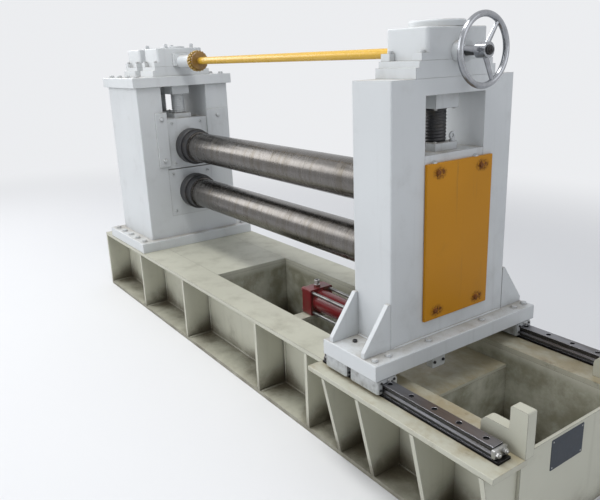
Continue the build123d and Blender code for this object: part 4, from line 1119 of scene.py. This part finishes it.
class SLITTER_OT_drive_fittings(bpy.types.Operator):
    """The chain round the shaft coupling, and the handwheel's nut"""

    bl_idname = "slitter.drive_fittings"
    bl_label = "Drive fittings"

    def execute(self, context):
        sizes = getattr(context.scene, SIZES)
        shaft_z = middle_of("handwheel", "z")
        roller = turned([(0, -0.0085, 0), (0.0055, -0.0085, 0), (0.0070, -0.0070, 0), (0.0070, 0.0070, 0),
                         (0.0055, 0.0085, 0), (0, 0.0085, 0)], 12)
        chain_r, row_x, count = 0.0535, 0.011, 20
        links = [link for row in (-1, 1)
                 for link in on_circle(0.5 * sum(coupling_ends()) + row * row_x, shaft_z, chain_r,
                                       (np.arange(count) + 0.25 * row) * 2 * math.pi / count)]
        add_piece("coupling_chain", "sync_shaft_body", made("greased_yellow"),
                  placed(roller, links, (1, 0, 0)), 40)
        hub = (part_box("handwheel")[1].x, 0, shaft_z)
        add_piece("wheel_nut", "handwheel_body", made("black_steel"),
                  placed(nut_on_stud(0.0120, sizes.facets), [hub], (1, 0, 0)))
        return {"FINISHED"}


class SLITTER_OT_cylinder_fittings(bpy.types.Operator):
    """Port fittings of the cylinder and the screws of the bracket on its rod"""

    bl_idname = "slitter.cylinder_fittings"
    bl_label = "Cylinder fittings"

    def execute(self, context):
        sizes = getattr(context.scene, SIZES)
        axis_z = middle_of("cylinder_tube", "z")
        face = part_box("rod_bracket")[1].x
        screws = [(face, y, axis_z + z) for y, z in four_corners(0.024, 0.024)]
        add_piece("rod_bracket_screws", "carriage", made("black_steel"),
                  placed(socket_head(0.0060, sizes.facets), screws, (1, 0, 0)))
        port = turned([(0, -0.002, 0), (0.017, -0.002, 1), (0.017, 0.010, 1), (0.012, 0.012, 0),
                       (0.012, 0.020, 0), (0.015, 0.020, 1), (0.015, 0.032, 1), (0.011, 0.035, 0),
                       (0.009, 0.035, 0), (0.008, 0.020, 0), (0, 0.019, 0)], sizes.facets)
        low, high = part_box("cylinder_tube")
        seat_z = axis_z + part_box("cylinder_caps")[1].y
        ports = [(x, 0.0, seat_z) for x in (low.x - CYLINDER_CAP / 2, high.x + CYLINDER_CAP / 2)]
        add_piece("port_fittings", "base", made("zinc_plate"), placed(port, ports, (0, 0, 1)))
        return {"FINISHED"}


class SLITTER_OT_name_plate(bpy.types.Operator):
    """The bare dark plate on the front end, riveted at its corners"""

    bl_idname = "slitter.name_plate"
    bl_label = "Bare plate"

    def execute(self, context):
        sizes = getattr(context.scene, SIZES)
        wide, tall = sizes.plate_width, sizes.plate_height
        face, plate_y, plate_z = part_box("cross_plates")[1].x, -0.0825, 0.3245
        under, thick = -0.0005, 0.0016
        card = swept_outline(rounded_box(wide, tall, 0.004), under, thick, 0.0005)
        add_piece("bare_plate", "base", made("bare_plate"),
                  stood(card, (face, plate_y, plate_z), (0, 1, 0), (0, 0, 1)))
        rivet = turned([(0, 0, 0), (0.0032, 0, 0), (0.0028, 0.0008, 0), (0.0016, 0.0013, 0), (0, 0.0014, 0)],
                       sizes.facets)
        inset, rivet_x = 0.009, face + 0.0012
        pins = [(rivet_x, plate_y + y, plate_z + z)
                for y, z in four_corners(wide / 2 - inset, tall / 2 - inset)]
        add_piece("plate_rivets", "base", made("zinc_plate"), placed(rivet, pins, (1, 0, 0)))
        return {"FINISHED"}


def lay_floor(scene, stage):
    """A round floor, finer towards its middle."""
    around, rings = 96, np.array([0.0, 0.1, 0.4, 1.0])
    turn = np.arange(around) * 2 * np.pi / around
    reach = stage.radius * rings[:, None]
    points = np.stack([reach * np.cos(turn), reach * np.sin(turn), 0 * reach * turn], axis=-1).reshape(-1, 3)
    data = bpy.data.meshes.new("floor")
    data.from_pydata(points.tolist(), [], grid_faces(len(rings), around, True)[:, ::-1].tolist())
    fade_from, fade_to = 2.0, 5.5
    paint = pale_floor("floor_paint", tuple(stage.floor), tuple(stage.backdrop), fade_from, fade_to)
    data.materials.append(paint)
    floor = bpy.data.objects.new("floor", data)
    scene.collection.objects.link(floor)


def light_studio(scene, stage):
    """Soft light from all round, a pale backdrop for the camera, and four lamps that face the machine."""
    world = bpy.data.worlds.new("studio")
    scene.world = world
    world.use_nodes = True
    tree = world.node_tree
    back = next(node for node in tree.nodes if node.type == "BACKGROUND")
    glow = tint(seen_directly(Term(tree, back.outputs[0])), tuple(stage.ambient), tuple(stage.backdrop))
    tree.links.new(glow.socket, back.inputs["Color"])
    back.inputs["Strength"].default_value = 1.0

    target = Vector((0.3, 0.0, 0.7))
    for name, place, size, power, tone in (
            ("key", (-0.8, -6.0, 3.6), (3.6, 3.6), 136.0, (0.97, 0.98, 1.0)),
            ("top", (0.2, -0.9, 4.6), (5.0, 0.9), 112.0, (1.0, 1.0, 1.0)),
            ("front", (6.0, 1.5, 3.2), (4.0, 4.0), 50.0, (0.96, 0.97, 1.0)),
            ("window", (-5.6, -2.2, 3.2), (4.4, 2.6), 130.0, (1.0, 1.0, 1.0))):
        lamp = bpy.data.lights.new(name, "AREA")
        lamp.shape, lamp.energy, lamp.color = "RECTANGLE", power, tone
        lamp.size, lamp.size_y = size
        light = bpy.data.objects.new(name, lamp)
        aim = (target - Vector(place)).to_track_quat("-Z", "Y")
        light.matrix_world = Matrix.Translation(place) @ aim.to_matrix().to_4x4()
        scene.collection.objects.link(light)


def place_camera(scene, stage):
    """The camera at the photograph's place, turned by azimuth, pitch and roll."""
    data = bpy.data.cameras.new("camera")
    data.sensor_width, data.lens = 36.0, stage.lens
    data.clip_end = 200.0
    camera = bpy.data.objects.new("camera", data)
    up = Vector((0, 0, 1))
    right = Vector((math.cos(stage.azimuth), math.sin(stage.azimuth), 0))
    level = Vector((-math.sin(stage.azimuth), math.cos(stage.azimuth), 0))
    ahead = level * math.cos(stage.pitch) - up * math.sin(stage.pitch)
    above = up * math.cos(stage.pitch) + level * math.sin(stage.pitch)
    tilt_x = right * math.cos(stage.roll) + above * math.sin(stage.roll)
    tilt_y = above * math.cos(stage.roll) - right * math.sin(stage.roll)
    axes = Matrix((tilt_x, tilt_y, -ahead)).transposed()
    camera.matrix_world = Matrix.Translation(stage.eye) @ axes.to_4x4()
    scene.collection.objects.link(camera)
    scene.camera = camera


class SLITTER_OT_stage(bpy.types.Operator):
    """Pale floor, soft studio light and the camera at the photograph's angle"""

    bl_idname = "slitter.stage"
    bl_label = "Stage"

    def execute(self, context):
        scene = context.scene
        stage = getattr(scene, STAGE)
        lay_floor(scene, stage)
        light_studio(scene, stage)
        place_camera(scene, stage)
        scene.view_settings.view_transform = "Standard"
        return {"FINISHED"}


class SLITTER_PT_panel(bpy.types.Panel):
    """Sizes, colours and steps of the slitting machine"""

    bl_idname = "SLITTER_PT_panel"
    bl_label = "Slitting machine"
    bl_space_type = "VIEW_3D"
    bl_region_type = "UI"
    bl_category = "Slitter"

    def draw(self, context):
        for step in STEPS:
            self.layout.operator(step.bl_idname)
        for group in GROUPS:
            values = getattr(context.scene, group)
            column = self.layout.box().column()
            for name in values.__annotations__:
                column.prop(values, name)


STEPS = (SLITTER_OT_finishes, SLITTER_OT_stand_bolts, SLITTER_OT_panel_fasteners, SLITTER_OT_rail_fittings,
         SLITTER_OT_welds, SLITTER_OT_screw_threads, SLITTER_OT_drive_fittings, SLITTER_OT_cylinder_fittings,
         SLITTER_OT_name_plate, SLITTER_OT_stage)
CLASSES = (*GROUPS.values(), *STEPS, SLITTER_PT_panel)


def register():
    """Registers the classes and puts the property groups on the scene."""
    for kind in CLASSES:
        bpy.utils.register_class(kind)
    for name, group in GROUPS.items():
        setattr(bpy.types.Scene, name, PointerProperty(type=group))


def unregister():
    """Takes the property groups and classes away again."""
    for name in GROUPS:
        delattr(bpy.types.Scene, name)
    for kind in reversed(CLASSES):
        bpy.utils.unregister_class(kind)


def main():
    """Runs every step in order."""
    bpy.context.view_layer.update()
    register()
    bpy.ops.slitter.finishes()
    bpy.ops.slitter.stand_bolts()
    bpy.ops.slitter.panel_fasteners()
    bpy.ops.slitter.rail_fittings()
    bpy.ops.slitter.welds()
    bpy.ops.slitter.screw_threads()
    bpy.ops.slitter.drive_fittings()
    bpy.ops.slitter.cylinder_fittings()
    bpy.ops.slitter.name_plate()
    bpy.ops.slitter.stage()


if __name__ == "__main__":
    main()
